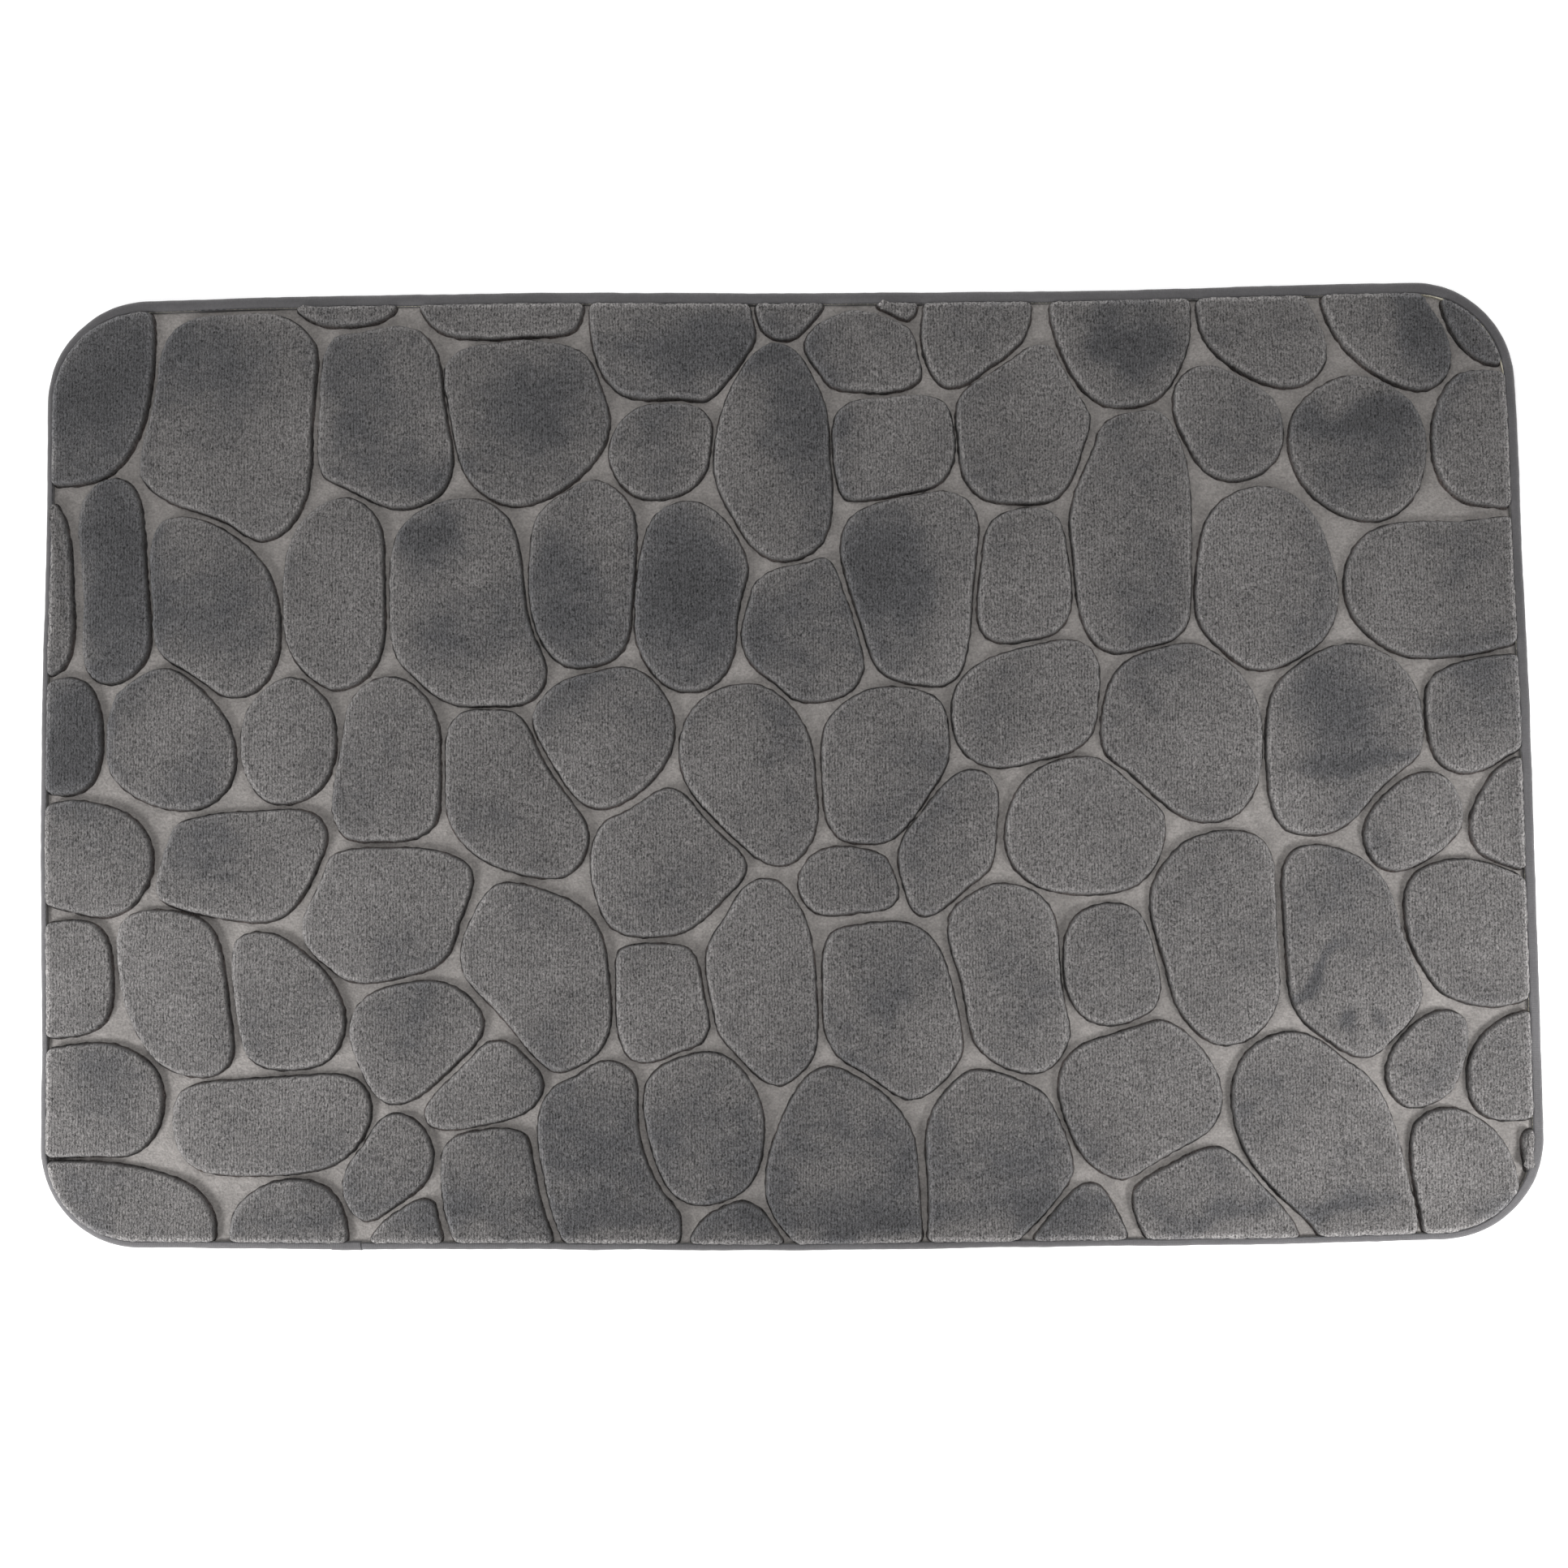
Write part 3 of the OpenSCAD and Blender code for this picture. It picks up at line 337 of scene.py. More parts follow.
def make_pebbles(hub_depth=30 * MM):
    """All the raised pebbles in one cloth piece: the rings of each, closed by one point in
    its middle. Its fields are the distance inside the outline, the rubbed pile with the painted
    shade along the front, a tone of each pebble's own, and how near the tape it is."""
    loops = pebble_outlines()
    normal = inward(loops)
    loops = loops - normal * lean(loops)[..., None]
    middle = loops.mean(1, keepdims=True)
    xy, z, depth = pebble_rings(loops, normal, middle)
    xy, z = roughened(xy, z, depth, normal)
    count, tall, around = z.shape
    flat = np.concatenate([xy.reshape(-1, 2), middle[:, 0]])
    points = np.column_stack([warp(flat), np.append(z.ravel(), z[:, -1].mean(1))])
    quads = grid_quads(tall, around, wrap_columns=True)
    quads = (quads[None] + np.arange(count)[:, None, None] * tall * around).reshape(-1, 4)
    a = np.arange(around)
    ring = (np.arange(count)[:, None] * tall + tall - 1) * around
    hub = count * tall * around + np.arange(count)[:, None] + 0 * a
    caps = np.stack([ring + a, ring + (a + 1) % around, hub, hub], -1)
    own = np.random.default_rng(3).uniform(-1, 1, count)
    fields = {
        "depth": np.append(depth.ravel(), np.full(count, hub_depth)) / MM,
        "brushed": brushing_and_shade(flat),
        "own": np.append(np.repeat(own, tall * around), own),
        # mask for the painted highlight of the pile within about 3 mm of the tape
        "verge": ease(1.15 - margin(flat) / (3 * MM)),
    }
    return make_piece("fleece_pebbles", points, np.concatenate([quads, caps.reshape(-1, 4)]),
                      fields)


def rounded_path(count, gap):
    """Points and outward normals, evenly spaced along the mat's outline `gap` inside it, with
    the length from the start: straight sides and quarter-circle corners, counter-clockwise
    from the middle of the right side."""
    w, h = HALF[0] - CORNER, HALF[1] - CORNER
    r = CORNER - gap
    runs = [h, r * np.pi / 2, 2 * w, r * np.pi / 2, 2 * h, r * np.pi / 2, 2 * w,
            r * np.pi / 2, h]
    ends = np.concatenate([[0], np.cumsum(runs)])
    s = np.linspace(0, ends[-1], count, endpoint=False)
    k = np.clip(np.searchsorted(ends, s, side="right") - 1, 0, 8)
    t = (s - ends[k]) / np.array(runs)[k]
    corner = k % 2 == 1
    angle = np.where(corner, (k - 1) // 2 * np.pi / 2 + t * np.pi / 2, k // 2 * np.pi / 2)
    normal = np.stack([np.cos(angle), np.sin(angle)], 1)
    centres = np.array([(w, 0), (w, h), (w, h), (-w, h), (-w, h), (-w, -h), (-w, -h),
                        (w, -h), (w, -h)], float)
    spot = centres[k] + r * normal
    travel = np.stack([-normal[:, 1], normal[:, 0]], 1)
    along = np.where(corner, 0, t * np.array(runs)[k])
    return spot + travel * along[:, None], normal, s


def reveal_along(normal):
    """How much tape shows, blended between the sides by the way the edge faces."""
    x, y = normal[:, 0], normal[:, 1]
    share = np.stack([np.clip(x, 0, 1), np.clip(-x, 0, 1), np.clip(y, 0, 1), np.clip(-y, 0, 1)])
    share = share ** 2
    value = np.array([REVEAL[side] for side in ("right", "left", "back", "front")])
    return (share * value[:, None]).sum(0) / share.sum(0)


def make_channel_sheet():
    """The pressed-flat fleece of the channels: rings from the fleece's outline to the middle
    line of the mat, at channel height, with a faint ripple."""
    around, rings, half_spine = 900, 64, 130 * MM
    edge, normal, _ = rounded_path(around, 0.0)
    edge = edge - normal * (reveal_along(normal)[:, None] + 0.1 * MM)
    spine = np.stack([np.clip(edge[:, 0], -half_spine, half_spine), 0 * edge[:, 1]], 1)
    share = np.linspace(0, 1, rings) ** 0.9
    xy = edge[None] + (spine - edge)[None] * share[:, None, None]
    ripple = 0.12 * MM * drift(xy, 9 * MM, 21) + 0.15 * MM * drift(xy, 26 * MM, 22)
    z = CHANNEL - 0.35 * MM + ripple
    points = np.concatenate([warp(xy), z[..., None]], -1)
    quads = grid_quads(rings, around, wrap_columns=True)
    return make_piece("fleece_channels", points, quads)


def tape_section(reveal, skin, stitch_groove=True, flap=FLAP, turns=22):
    """Rows of (inset, height) across the tape at each place along it, `skin` under its face:
    up out of the ditch beside the fleece, over the roll (level, then a half circle of radius
    ROLL - skin), and flat under the mat, with a shallow groove for the stitches."""
    r = ROLL - skin
    start = reveal - 0.35 * MM - skin * 0.6
    level = np.maximum(start - ROLL, 0)
    begin = np.arcsin(np.clip((ROLL - start) / r, 0, 1))
    whole = level + (np.pi - begin) * r
    ditch = reveal + 0.18 * MM - skin * 0.6
    rows = [(ditch, 6.6 * MM + 0 * reveal), (ditch, 8.2 * MM + 0 * reveal)]
    for share in np.linspace(0, 1, turns):
        s = share * whole
        bend = begin + np.maximum(s - level, 0) / r
        inset = np.where(s < level, start - s, ROLL - r * np.sin(bend))
        high = np.where(s < level, ROLL + r, ROLL + r * np.cos(bend))
        rows.append((inset, high - 0.25 * MM * np.exp(-(s / (0.5 * MM)) ** 2)))
    deep = 0.35 * MM if stitch_groove and skin == 0 else 0.0
    for inset, lift in ((7.5, 0), (9.7, 0), (9.95, deep), (11.05, deep), (11.3, 0)):
        if inset * MM < flap:
            rows.append((inset * MM + 0 * reveal, skin + lift + 0 * reveal))
    rows.append((flap + 0 * reveal, skin + 0 * reveal))
    return rows


def tape_piece(name, edge, normal, length, rows, closed):
    """Carries the section along the edge. The roll swells and puckers slightly on the way."""
    around = len(edge)
    inset = np.stack([r[0] for r in rows])
    high = np.stack([r[1] for r in rows])
    swell = 0.12 * MM * drift(edge, 34 * MM, 31) + 0.05 * MM * drift(edge, 8 * MM, 32)
    inset = inset - ease((high - 1.5 * MM) / (3 * MM)) * swell
    high = high + ease((high - 6 * MM) / (3 * MM)) * swell
    xy = edge[None] - normal[None] * inset[..., None]
    points = np.concatenate([warp(xy), high[..., None]], -1).reshape(-1, 3)
    quads = grid_quads(len(rows), around, wrap_rows=True, wrap_columns=closed)
    across = np.concatenate([[0], np.cumsum(np.hypot(np.diff(inset, axis=0).mean(1),
                                                     np.diff(high, axis=0).mean(1)))])
    k, c = quads[:, 0] // around, quads[:, 0] % around
    step = length[1] - length[0]
    u = np.stack([length[c], length[c] + step, length[c] + step, length[c]], 1)
    after = np.append(across[1:], across[-1] + TAPE)
    v = np.stack([across[k], across[k], after[k], after[k]], 1)
    if not closed:
        # the two cut ends: outer row to inner row across the tape's thickness
        half = len(rows) // 2
        j = np.arange(half - 1)
        other = len(rows) - 1 - j
        for column, flip in ((0, False), (around - 1, True)):
            end = np.stack([j, j + 1, other - 1, other], 1) * around + column
            end = end[:, ::-1] if flip else end
            quads = np.concatenate([quads, end])
            u = np.concatenate([u, np.full((len(j), 4), length[column])])
            v = np.concatenate([v, np.stack([across[j]] * 4, 1)])
    return make_piece(name, points, quads[:, ::-1], uv=np.stack([u, v], -1)[:, ::-1])


def make_binding():
    """The tape round the whole edge: the section's face and, a tape's thickness in, its back."""
    edge, normal, length = rounded_path(1500, 0.0)
    reveal = reveal_along(normal)
    rows = tape_section(reveal, 0.0) + tape_section(reveal, TAPE)[::-1]
    return tape_piece("edge_tape", edge, normal, length, rows, closed=True)


def make_lap():
    """The tape's end lying over its start on the front edge: a short length of the same
    section, a little proud of the tape."""
    steps, tuck, lowest = 24, 6.5 * MM, 0.02 * MM
    low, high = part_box("binding_lap")
    x = np.linspace(low[0], high[0], steps)
    edge = np.stack([x, np.full(steps, -HALF[1])], 1)
    normal = np.tile([0.0, -1.0], (steps, 1))
    reveal = np.full(steps, REVEAL["front"]) + 0.25 * MM
    face = tape_section(reveal, -0.32 * MM, False, tuck)
    back = tape_section(reveal, 0.3 * MM, False, tuck)
    rows = [(i, np.maximum(z, lowest)) for i, z in face] + back[::-1]
    return tape_piece("tape_lap", edge, normal, x - x[0], rows, closed=False)


def refined(spot, tri, step):
    """Splits every edge longer than `step` at its middle until none is left. A triangle gives
    two, three or four, by how many of its edges are long, so neighbours still meet."""
    while True:
        ends = np.sort(np.stack([tri, np.roll(tri, -1, 1)], -1), -1)
        long = np.linalg.norm(spot[ends[..., 0]] - spot[ends[..., 1]], axis=-1) > step
        if not long.any():
            return spot, tri
        edge, which = np.unique(ends[long], axis=0, return_inverse=True)
        mid = np.full(tri.shape, -1)
        mid[long] = len(spot) + which.ravel()
        spot = np.vstack([spot, spot[edge].mean(1)])
        count = long.sum(1)
        # turned so that the long edges come first: a-b, then b-c
        turn = np.where(count == 1, long.argmax(1), np.where(count == 2, long.argmin(1) + 1, 0))
        order = (turn[:, None] + np.arange(3)) % 3
        a, b, c = np.take_along_axis(tri, order, 1).T
        ab, bc, ca = np.take_along_axis(mid, order, 1).T
        tri = np.concatenate([np.stack(corners, 1)[count == n] for n, corners in (
            (0, (a, b, c)), (1, (a, ab, c)), (1, (ab, b, c)),
            (2, (ab, b, bc)), (2, (a, ab, bc)), (2, (a, bc, c)),
            (3, (a, ab, ca)), (3, (ab, b, bc)), (3, (ca, bc, c)), (3, (ab, bc, ca)))])


def warped_copy(node, name, weld=0.002 * MM, step=12 * MM):
    """A frame node's mesh, its loose corners joined where they lie within `weld` and its
    edges split to `step`, with the mat's edges wandering as warp gives."""
    tri = triangles_of(node).reshape(-1, 3)
    spot, index = np.unique(np.round(tri / weld), axis=0, return_inverse=True)
    spot = spot * weld
    index = index.reshape(-1, 3)
    real = (index != np.roll(index, -1, 1)).all(1)
    spot, index = refined(spot, index[real], step)
    spot[:, :2] = warp(spot[:, :2])
    return make_piece(name, spot, np.column_stack([index, index[:, 2]]), smooth=False)


def lathe_many(name, profile, centres, around=12):
    """The same small turned shape at every centre: profile rows of (radius, height) spun about
    +Z, closed by a point at the last row's middle."""
    radius, height = np.array(profile).T * MM
    angle = np.linspace(0, 2 * np.pi, around, endpoint=False)
    ring = np.stack([radius[:, None] * np.cos(angle), radius[:, None] * np.sin(angle),
                     height[:, None] + 0 * angle], -1).reshape(-1, 3)
    one = np.vstack([ring, [0, 0, height[-1]]])
    quads = grid_quads(len(profile), around, wrap_columns=True)
    a = np.arange(around)
    last = (len(profile) - 1) * around
    hub = np.full(around, len(one) - 1)
    cap = np.stack([last + a, last + (a + 1) % around, hub, hub], 1)
    quads = np.concatenate([quads, cap])[:, ::-1]
    # a triangle keeps its repeated corner last
    quads = np.where(quads[:, :1] == quads[:, 1:2], quads[:, [2, 3, 1, 1]], quads)
    points = one[None] + np.column_stack([centres, np.zeros(len(centres))])[:, None]
    quads = quads[None] + (np.arange(len(centres)) * len(one))[:, None, None]
    return make_piece(name, points, quads)


def make_grip_dots(pitch=22 * MM, width=6 * MM):
    """Low domes with a flattened crown, in staggered rows inside the tape's flap."""
    dome = [(3.05, 0.84), (3.0, 0.5), (2.7, 0.2), (2.0, 0.05), (1.0, 0.0)]
    row = pitch * math.sqrt(3) / 2
    reach = HALF - FLAP - width
    keep = CORNER - FLAP - width
    rows, columns = int(reach[1] / row), math.ceil(reach[0] / pitch)
    j, i = np.mgrid[-rows:rows + 1, -columns:columns + 1]
    centre = np.stack([(i + 0.5 * (j % 2)) * pitch, j * row], -1).reshape(-1, 2)
    over = np.maximum(0, abs(centre) - reach + keep)
    inside = np.hypot(over[:, 0], over[:, 1]) <= keep + 0.05 * MM
    return lathe_many("grip_dot_domes", dome, warp(centre[inside]))


THREAD_SIDES = 6


def tube_rings(centre, travel, radius):
    """Rings of a round thread: centre and travel are (n, m, 3), radius is (n, m)."""
    up = np.array([0.0, 0.0, 1.0])
    side = np.cross(up, travel)
    side /= np.linalg.norm(side, axis=-1, keepdims=True)
    rise = np.cross(travel, side)
    a = np.linspace(0, 2 * np.pi, THREAD_SIDES, endpoint=False)
    return centre[..., None, :] + radius[..., None, None] * (
        np.cos(a)[:, None] * side[..., None, :] + np.sin(a)[:, None] * rise[..., None, :])


def make_stitches(gap=10.5 * MM, pitch=6.5 * MM, long=4.9 * MM):
    """Lockstitches along the flap: short threads that dive into the tape at both ends, in a
    row that follows the mat's outline."""
    path, _, length = rounded_path(6000, gap)
    count, rings_each = int(length[-1] / pitch), 7
    share = np.linspace(-0.5, 0.5, rings_each)
    s = (np.arange(count)[:, None] + 0.5) * pitch + share * long
    centre = np.stack([np.interp(s, length, path[:, 0]), np.interp(s, length, path[:, 1])], -1)
    centre = warp(centre)
    travel = np.gradient(centre, axis=1)
    travel = np.concatenate([travel, 0 * travel[..., :1]], -1)
    travel /= np.linalg.norm(travel, axis=-1, keepdims=True)
    dive = (2 * abs(share)) ** 4
    height = (0.24 + 0.34 * dive) * MM + 0 * s
    radius = (0.24 - 0.06 * dive) * MM + 0 * s
    rings = tube_rings(np.concatenate([centre, height[..., None]], -1), travel, radius)
    quads = grid_quads(rings_each, THREAD_SIDES, wrap_columns=True)
    ends = np.array([[0, 1, 2, 3], [3, 4, 5, 0]])
    last = (rings_each - 1) * THREAD_SIDES
    quads = np.concatenate([quads, ends[:, ::-1], ends + last])
    quads = quads[None] + (np.arange(count) * rings_each * THREAD_SIDES)[:, None, None]
    return make_piece("flap_stitches", rings, quads)


def make_seam_thread():
    """The thread in the ditch between tape and fleece: one line that rises out of the ditch
    at each stitch and dips between stitches."""
    edge, normal, length = rounded_path(2600, 0.0)
    spot = edge - normal * (reveal_along(normal)[:, None] - 0.25 * MM)
    beat = np.cos(2 * np.pi * length / (3.4 * MM))
    centre = np.column_stack([warp(spot), (8.9 + 0.28 * beat) * MM])[None]
    travel = np.roll(centre, -1, 1) - np.roll(centre, 1, 1)
    travel /= np.linalg.norm(travel, axis=-1, keepdims=True)
    rings = tube_rings(centre, travel, np.full(centre.shape[:2], 0.24 * MM))
    quads = grid_quads(len(edge), THREAD_SIDES, wrap_rows=True, wrap_columns=True)
    return make_piece("ditch_thread", rings, quads)


# ---------------------------------------------------------------- materials

class Sock:
    """A shader value: Python arithmetic on it adds Math nodes."""

    def __init__(self, mat, socket):
        self.mat, self.socket = mat, socket

    def _math(self, operation, other, swap=False):
        pair = (other, self) if swap else (self, other)
        return self.mat.node("ShaderNodeMath", {"operation": operation}, {0: pair[0], 1: pair[1]})

    def __add__(self, other):
        return self._math("ADD", other)

    def __radd__(self, other):
        return self._math("ADD", other, True)

    def __sub__(self, other):
        return self._math("SUBTRACT", other)

    def __rsub__(self, other):
        return self._math("SUBTRACT", other, True)

    def __mul__(self, other):
        return self._math("MULTIPLY", other)

    def __rmul__(self, other):
        return self._math("MULTIPLY", other, True)

    def wave(self):
        """Its sine."""
        return self.mat.node("ShaderNodeMath", {"operation": "SINE"}, {0: self})

    def fit(self, low, high, to_low=0.0, to_high=1.0):
        """Maps low..high smoothly to to_low..to_high, held at both ends."""
        return self.mat.node("ShaderNodeMapRange", {"interpolation_type": "SMOOTHSTEP"},
                             {0: self, 1: low, 2: high, 3: to_low, 4: to_high})


class Finish:
    """A material under construction: node() adds any node, the rest are shorthands."""

    def __init__(self, name, rough, sheen=0.0, sheen_rough=0.5, specular=0.3):
        self.material = bpy.data.materials.new(name)
        self.material.use_nodes = True
        self.tree = self.material.node_tree
        self.shader = self.tree.nodes["Principled BSDF"]
        for key, value in (("Roughness", rough), ("Sheen Weight", sheen),
                           ("Sheen Roughness", sheen_rough), ("Specular IOR Level", specular)):
            self.shader.inputs[key].default_value = value

    def node(self, kind, settings=None, inputs=None, output=0):
        """Adds a node: its type, its settings, its sockets' values or links, and which
        output is wanted."""
        made = self.tree.nodes.new(kind)
        for key, value in (settings or {}).items():
            setattr(made, key, value)
        for key, value in (inputs or {}).items():
            self.feed(made.inputs[key], value)
        return Sock(self, made.outputs[output])

    def feed(self, socket, value):
        """Links a shader value to the socket, or sets a plain one on it."""
        if isinstance(value, Sock):
            self.tree.links.new(value.socket, socket)
        else:
            socket.default_value = value

    def place(self):
        """Object coordinates."""
        return self.node("ShaderNodeTexCoord", output="Object")

    def cloth_uv(self):
        """The piece's own map: along the cloth and across it, in metres."""
        return self.node("ShaderNodeTexCoord", output="UV")

    def axes(self, vector):
        """The vector's x, y and z."""
        split = self.node("ShaderNodeSeparateXYZ", inputs={0: vector})
        return [Sock(self, split.socket.node.outputs[i]) for i in range(3)]

    def field(self, name):
        """A number that the mesh holds at each point."""
        return self.node("ShaderNodeAttribute", {"attribute_name": name}, output="Fac")

    def noise(self, vector, size, detail=2.0, rough=0.5, distort=0.0):
        """Noise from 0 to 1 with features of about `size` metres."""
        return self.node("ShaderNodeTexNoise", inputs={
            "Vector": vector, "Scale": 1 / size, "Detail": detail, "Roughness": rough,
            "Distortion": distort})

    def stretched(self, vector, scale):
        """The vector times `scale` along each axis, so a pattern is longest where it is least."""
        return self.node("ShaderNodeVectorMath", {"operation": "MULTIPLY"},
                         {0: vector, 1: scale})

    def mix(self, share, a, b):
        """Colour a to colour b by share."""
        return self.node("ShaderNodeMix", {"data_type": "RGBA"}, {0: share, 6: a, 7: b}, output=2)

    def tone(self, colour, by):
        """Colour times a value."""
        grey = self.node("ShaderNodeCombineColor", inputs={0: by, 1: by, 2: by})
        return self.node("ShaderNodeMix", {"data_type": "RGBA", "blend_type": "MULTIPLY"},
                         {0: 1.0, 6: colour, 7: grey}, output=2)

    def relief(self, height, depth):
        """Bump of `depth` metres, fed to the normal."""
        bump = self.node("ShaderNodeBump", inputs={"Height": height, "Distance": depth,
                                                   "Strength": 1.0})
        self.feed(self.shader.inputs["Normal"], bump)

    def colour(self, value):
        """Feeds the base colour."""
        self.feed(self.shader.inputs["Base Color"], value)

    def rough(self, value):
        """Feeds the roughness."""
        self.feed(self.shader.inputs["Roughness"], value)


def fleece_finish():
    """Short dense pile: fine tufts over faint ribs 1.4 mm apart, darker between the tufts,
    rubbed patches with painted shade along the front, painted shade at the foot of a wall where
    no light reaches the fibres, and a painted highlight for the pile's sheen over the shoulder
    and beside the tape."""
    foot_height, wall_height, rib = 0.0073, 0.0106, 0.0014
    m = Finish("fleece_pile", 0.9, sheen=0.24, sheen_rough=0.4, specular=0.12)
    place = m.place()
    x, _, z = m.axes(place)
    wander = (m.noise(place, 0.004, 2) - 0.5) * 9.0
    ribs = ((x * (2 * math.pi / rib)) + wander).wave() * 0.5 + 0.5
    tuft = m.noise(m.stretched(place, (1.0, 0.7, 1.0)), 0.00080, 2, 0.7, 0.9)
    knots = m.noise(place, 0.0016, 2, 0.6)
    pile = ribs * 0.10 + tuft * 1.05 + knots * 0.22
    m.relief(pile, 0.0013)
    brushed, depth, own = m.field("brushed"), m.field("depth"), m.field("own")
    # Painted shade: how dark the foot of a wall is painted, varied by noise
    foot = m.noise(place, 0.016, 2).fit(0.35, 0.68, 0.09, 0.42)
    cloud = m.noise(place, 0.030, 4, 0.62)
    streak = m.noise(m.stretched(place, (1.0, 1.6, 1.0)), 0.009, 3, 0.6)
    # The rubbed pile with its painted shade along the front, plus random cloud and streaks
    nap_and_shade = brushed + (cloud - 0.5) * 0.75 + (streak - 0.5) * 0.45
    tone = 1.0 - nap_and_shade.fit(-0.40, 0.75, -0.20, 0.46)
    tone = tone * (own * 0.03 + 1.0)
    tone = tone * pile.fit(0.40, 0.96, 0.20, 1.86)
    # Painted highlight: a band just inside each outline, where the pile rolls over the shoulder,
    # is painted lighter for its sheen; painted shade then darkens the wall towards its foot
    rim = depth.fit(-0.2, 0.5, 0.0, 1.0) * depth.fit(0.8, 2.6, 1.0, 0.0)
    tone = tone * (rim * 0.36 + 1.0) * z.fit(foot_height, wall_height, foot, 1.0)
    # Painted highlight: the pile within about 3 mm of the tape is painted lighter, in specks
    tone = tone * (m.field("verge") * tuft.fit(0.35, 0.6, 0.04, 0.42) + 1.0)
    cool = m.mix(nap_and_shade.fit(0.0, 0.5), (0.138, 0.132, 0.130, 1), (0.122, 0.121, 0.126, 1))
    # Painted shade: a warm dark colour painted low on the walls
    shaded = z.fit(foot_height, wall_height, 1.0, 0.0)
    m.colour(m.tone(m.mix(shaded, cool, (0.150, 0.119, 0.110, 1)), tone))
    return m.material


def channel_finish():
    """Fused, flattened fleece: paler and smoother, with a faint satin crease pattern."""
    m = Finish("fleece_pressed", 0.62, sheen=0.2, sheen_rough=0.4, specular=0.3)
    place = m.place()
    cloud = m.noise(place, 0.018, 3, 0.6)
    grain = m.noise(place, 0.0011, 2, 0.6)
    crease = m.noise(m.stretched(place, (1.0, 1.5, 1.0)), 0.0032, 3, 0.6, 1.2)
    m.relief(crease * 0.7 + grain * 0.5, 0.0007)
    tone = cloud.fit(0.3, 0.7, 0.84, 1.12) * grain.fit(0.3, 0.7, 0.84, 1.14)
    tone = tone * crease.fit(0.3, 0.7, 0.88, 1.12)
    m.colour(m.tone((0.228, 0.214, 0.204, 1), tone))
    return m.material


def tape_finish():
    """Smooth knitted tape: fine ribs across it and a soft satin."""
    m = Finish("edge_tape_knit", 0.55, sheen=0.25, sheen_rough=0.35, specular=0.35)
    uv = m.cloth_uv()
    u, v, _ = m.axes(uv)
    wales = (u * (2 * math.pi / 0.0009)).wave() * 0.5 + 0.5
    course = (v * (2 * math.pi / 0.0006)).wave() * 0.5 + 0.5
    fuzz = m.noise(m.place(), 0.0012, 2, 0.6)
    m.relief(wales * 0.4 + course * 0.3 + fuzz * 0.5, 0.00018)
    cloud = m.noise(m.place(), 0.03, 3, 0.6)
    tone = cloud.fit(0.3, 0.7, 0.9, 1.1) * fuzz.fit(0.3, 0.7, 0.93, 1.06)
    m.colour(m.tone((0.092, 0.089, 0.093, 1), tone))
    return m.material


def backing_finish():
    """Plain-woven backing: threads over and under, 1.1 mm apart."""
    pair = 0.0022
    m = Finish("backing_weave", 0.8, sheen=0.15, specular=0.25)
    place = m.place()
    x, y, _ = m.axes(place)
    warp_thread = (x * (2 * math.pi / pair)).wave()
    weft_thread = (y * (2 * math.pi / pair)).wave()
    weave = (warp_thread * weft_thread) * 0.5 + 0.5
    fuzz = m.noise(place, 0.0009, 2, 0.6)
    m.relief(weave * 0.7 + fuzz * 0.3, 0.00035)
    tone = weave.fit(0.1, 0.9, 0.72, 1.15) * m.noise(place, 0.05, 3).fit(0.3, 0.7, 0.9, 1.1)
    m.colour(m.tone((0.052, 0.053, 0.057, 1), tone))
    return m.material


def grip_finish():
    """Moulded rubbery dots with a faint skin."""
    m = Finish("grip_rubber", 0.5, specular=0.45)
    place = m.place()
    skin = m.noise(place, 0.0006, 2, 0.6)
    m.relief(skin, 0.00008)
    m.colour(m.tone((0.020, 0.020, 0.022, 1), m.noise(place, 0.01, 2).fit(0.3, 0.7, 0.85, 1.2)))
    m.rough(skin.fit(0.3, 0.7, 0.42, 0.58))
    return m.material


def thread_finish():
    """Twisted thread: fine slanting plies."""
    m = Finish("thread_twist", 0.6, sheen=0.2, specular=0.35)
    place = m.place()
    x, y, z = m.axes(place)
    ply = ((x + y + z) * (2 * math.pi / 0.0007)).wave() * 0.5 + 0.5
    m.relief(ply, 0.0001)
    m.colour(m.tone((0.035, 0.036, 0.040, 1), ply.fit(0.1, 0.9, 0.75, 1.2)))
    return m.material


def foam_finish():
    """Open-cell foam: fine pores."""
    m = Finish("foam_cells", 0.95, specular=0.1)
    pores = m.noise(m.place(), 0.0009, 3, 0.7)
    m.relief(pores, 0.0004)
    m.colour(m.tone((0.70, 0.66, 0.54, 1), pores.fit(0.35, 0.6, 0.7, 1.05)))
    return m.material


def dress(piece, material):
    """The piece's only material."""
    piece.data.materials.clear()
    piece.data.materials.append(material)


# ---------------------------------------------------------------- the set

def place_camera():
    """Almost straight above the mat, a little towards its front."""
    camera = bpy.data.cameras.new("camera")
    camera.lens, camera.sensor_width = 62.7, 36
    holder = bpy.data.objects.new("camera", camera)
    holder.location = (0.0222, -0.1158, 1.2874)
    holder.rotation_euler = [math.radians(a) for a in (4.69, 1.01, -0.54)]
    bpy.context.scene.collection.objects.link(holder)
    bpy.context.scene.camera = holder


def hang(lamp, place, aim):
    """Puts a lamp at `place`, turned to face `aim`, and keeps it out of the picture."""
    holder = bpy.data.objects.new(lamp.name, lamp)
    holder.location = place
    way = np.array(aim, float) - place
    holder.rotation_euler = (math.atan2(math.hypot(way[0], way[1]), -way[2]), 0,
                             math.atan2(-way[0], way[1]))
    holder.visible_camera = False
    bpy.context.scene.collection.objects.link(holder)


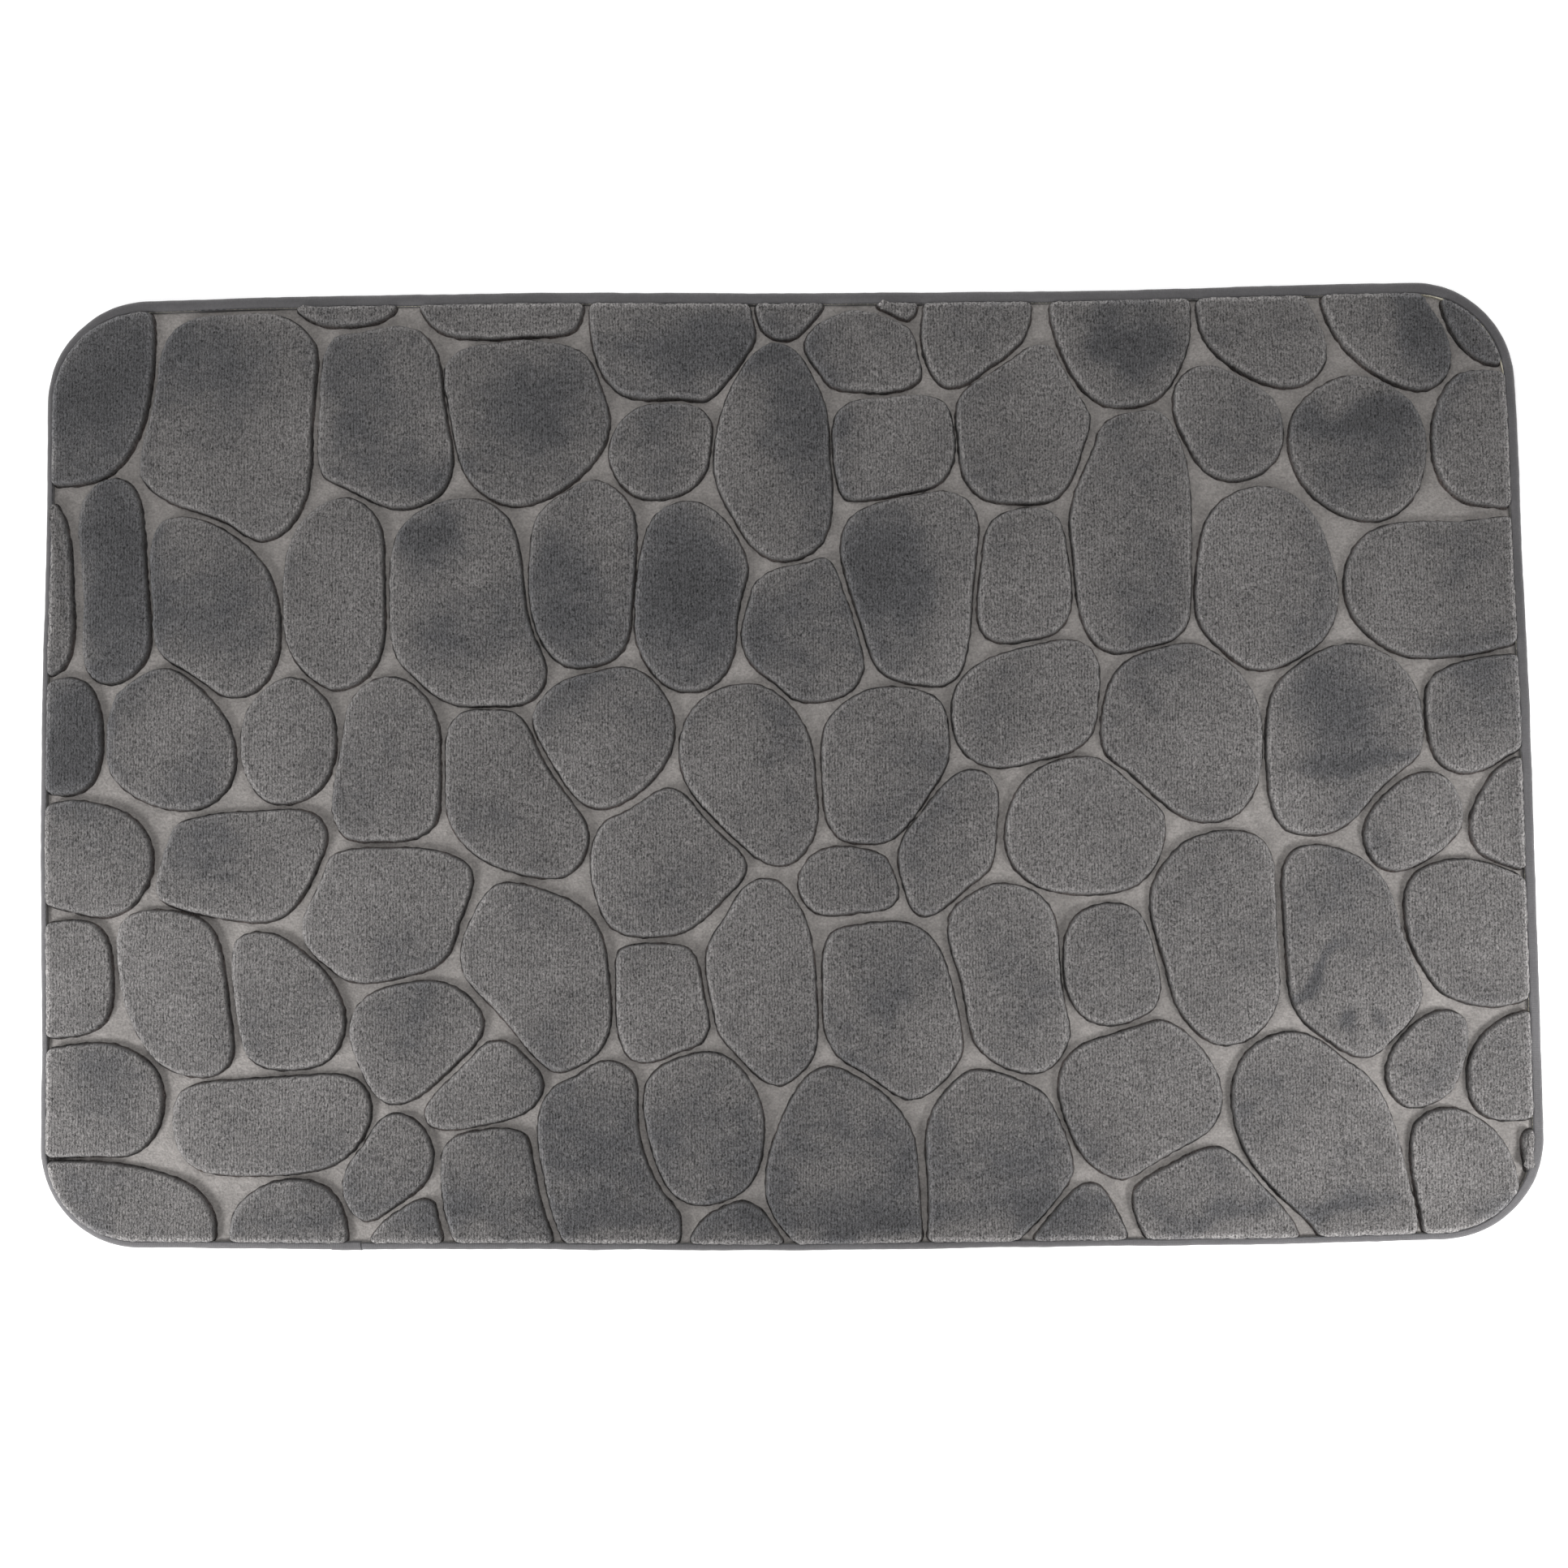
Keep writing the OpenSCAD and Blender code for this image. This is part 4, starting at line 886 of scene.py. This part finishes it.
def soft_light(name, place, size, power, aim=(0, 0, 0)):
    """A square studio light."""
    lamp = bpy.data.lights.new(name, "AREA")
    lamp.shape, lamp.size, lamp.energy = "SQUARE", size, power
    hang(lamp, place, aim)


def pool_light(name, place, aim, spread, size, power):
    """A spot whose soft-edged pool, `spread` degrees across, lies round `aim`."""
    lamp = bpy.data.lights.new(name, "SPOT")
    lamp.spot_size, lamp.spot_blend = math.radians(spread), 1.0
    lamp.shadow_soft_size, lamp.energy = size, power
    hang(lamp, place, aim)


def set_the_room():
    """A pale floor under soft light from above and the left, with a pool of light over each
    front corner."""
    far, under = 40, -0.0003
    world = bpy.data.worlds.new("room")
    world.use_nodes = True
    world.node_tree.nodes["Background"].inputs["Color"].default_value = (1, 1, 1, 1)
    world.node_tree.nodes["Background"].inputs["Strength"].default_value = 0.43
    bpy.context.scene.world = world
    bpy.context.scene.view_settings.view_transform = "Standard"
    soft_light("top_light", (0.0, 0.35, 1.6), 1.1, 12)
    soft_light("side_light", (-1.3, -1.2, 1.0), 1.0, 18)
    pool_light("left_pool", (-0.80, -0.48, 0.60), (-0.37, -0.23, 0), 42, 0.12, 28)
    pool_light("right_pool", (0.72, -0.50, 0.68), (0.37, -0.22, 0), 44, 0.12, 36)
    corners = [(-far, -far, under), (far, -far, under), (far, far, under), (-far, far, under)]
    floor = make_piece("floor", corners, [(0, 1, 2, 3)], smooth=False)
    m = Finish("floor_paint", 0.9, specular=0.1)
    m.shader.inputs["Base Color"].default_value = (0.9, 0.9, 0.9, 1)
    m.shader.inputs["Emission Color"].default_value = (1, 1, 1, 1)
    m.shader.inputs["Emission Strength"].default_value = 0.35
    dress(floor, m.material)


# ---------------------------------------------------------------- assembly

place_camera()
set_the_room()

pebbles = make_pebbles()
dress(pebbles, fleece_finish())
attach(pebbles, BODY)
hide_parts("fleece_cover")

channels = make_channel_sheet()
dress(channels, channel_finish())
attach(channels, BODY)
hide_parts("fleece_cover")

tape = make_binding()
dress(tape, tape_finish())
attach(tape, BODY)
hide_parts("edge_binding")

lap = make_lap()
dress(lap, tape.data.materials[0])
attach(lap, BODY)
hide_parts("binding_lap")

core = warped_copy("foam_core", "foam_slab")
dress(core, foam_finish())
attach(core, BODY)
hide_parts("foam_core")

backing = warped_copy("backing_fabric", "backing_sheet")
dress(backing, backing_finish())
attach(backing, BODY)
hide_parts("backing_fabric")

dots = make_grip_dots()
dress(dots, grip_finish())
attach(dots, BODY)
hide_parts("grip_dots")

stitches = make_stitches()
dress(stitches, thread_finish())
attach(stitches, BODY)
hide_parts("binding_stitches")

seam = make_seam_thread()
dress(seam, stitches.data.materials[0])
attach(seam, BODY)
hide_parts("seam_thread")
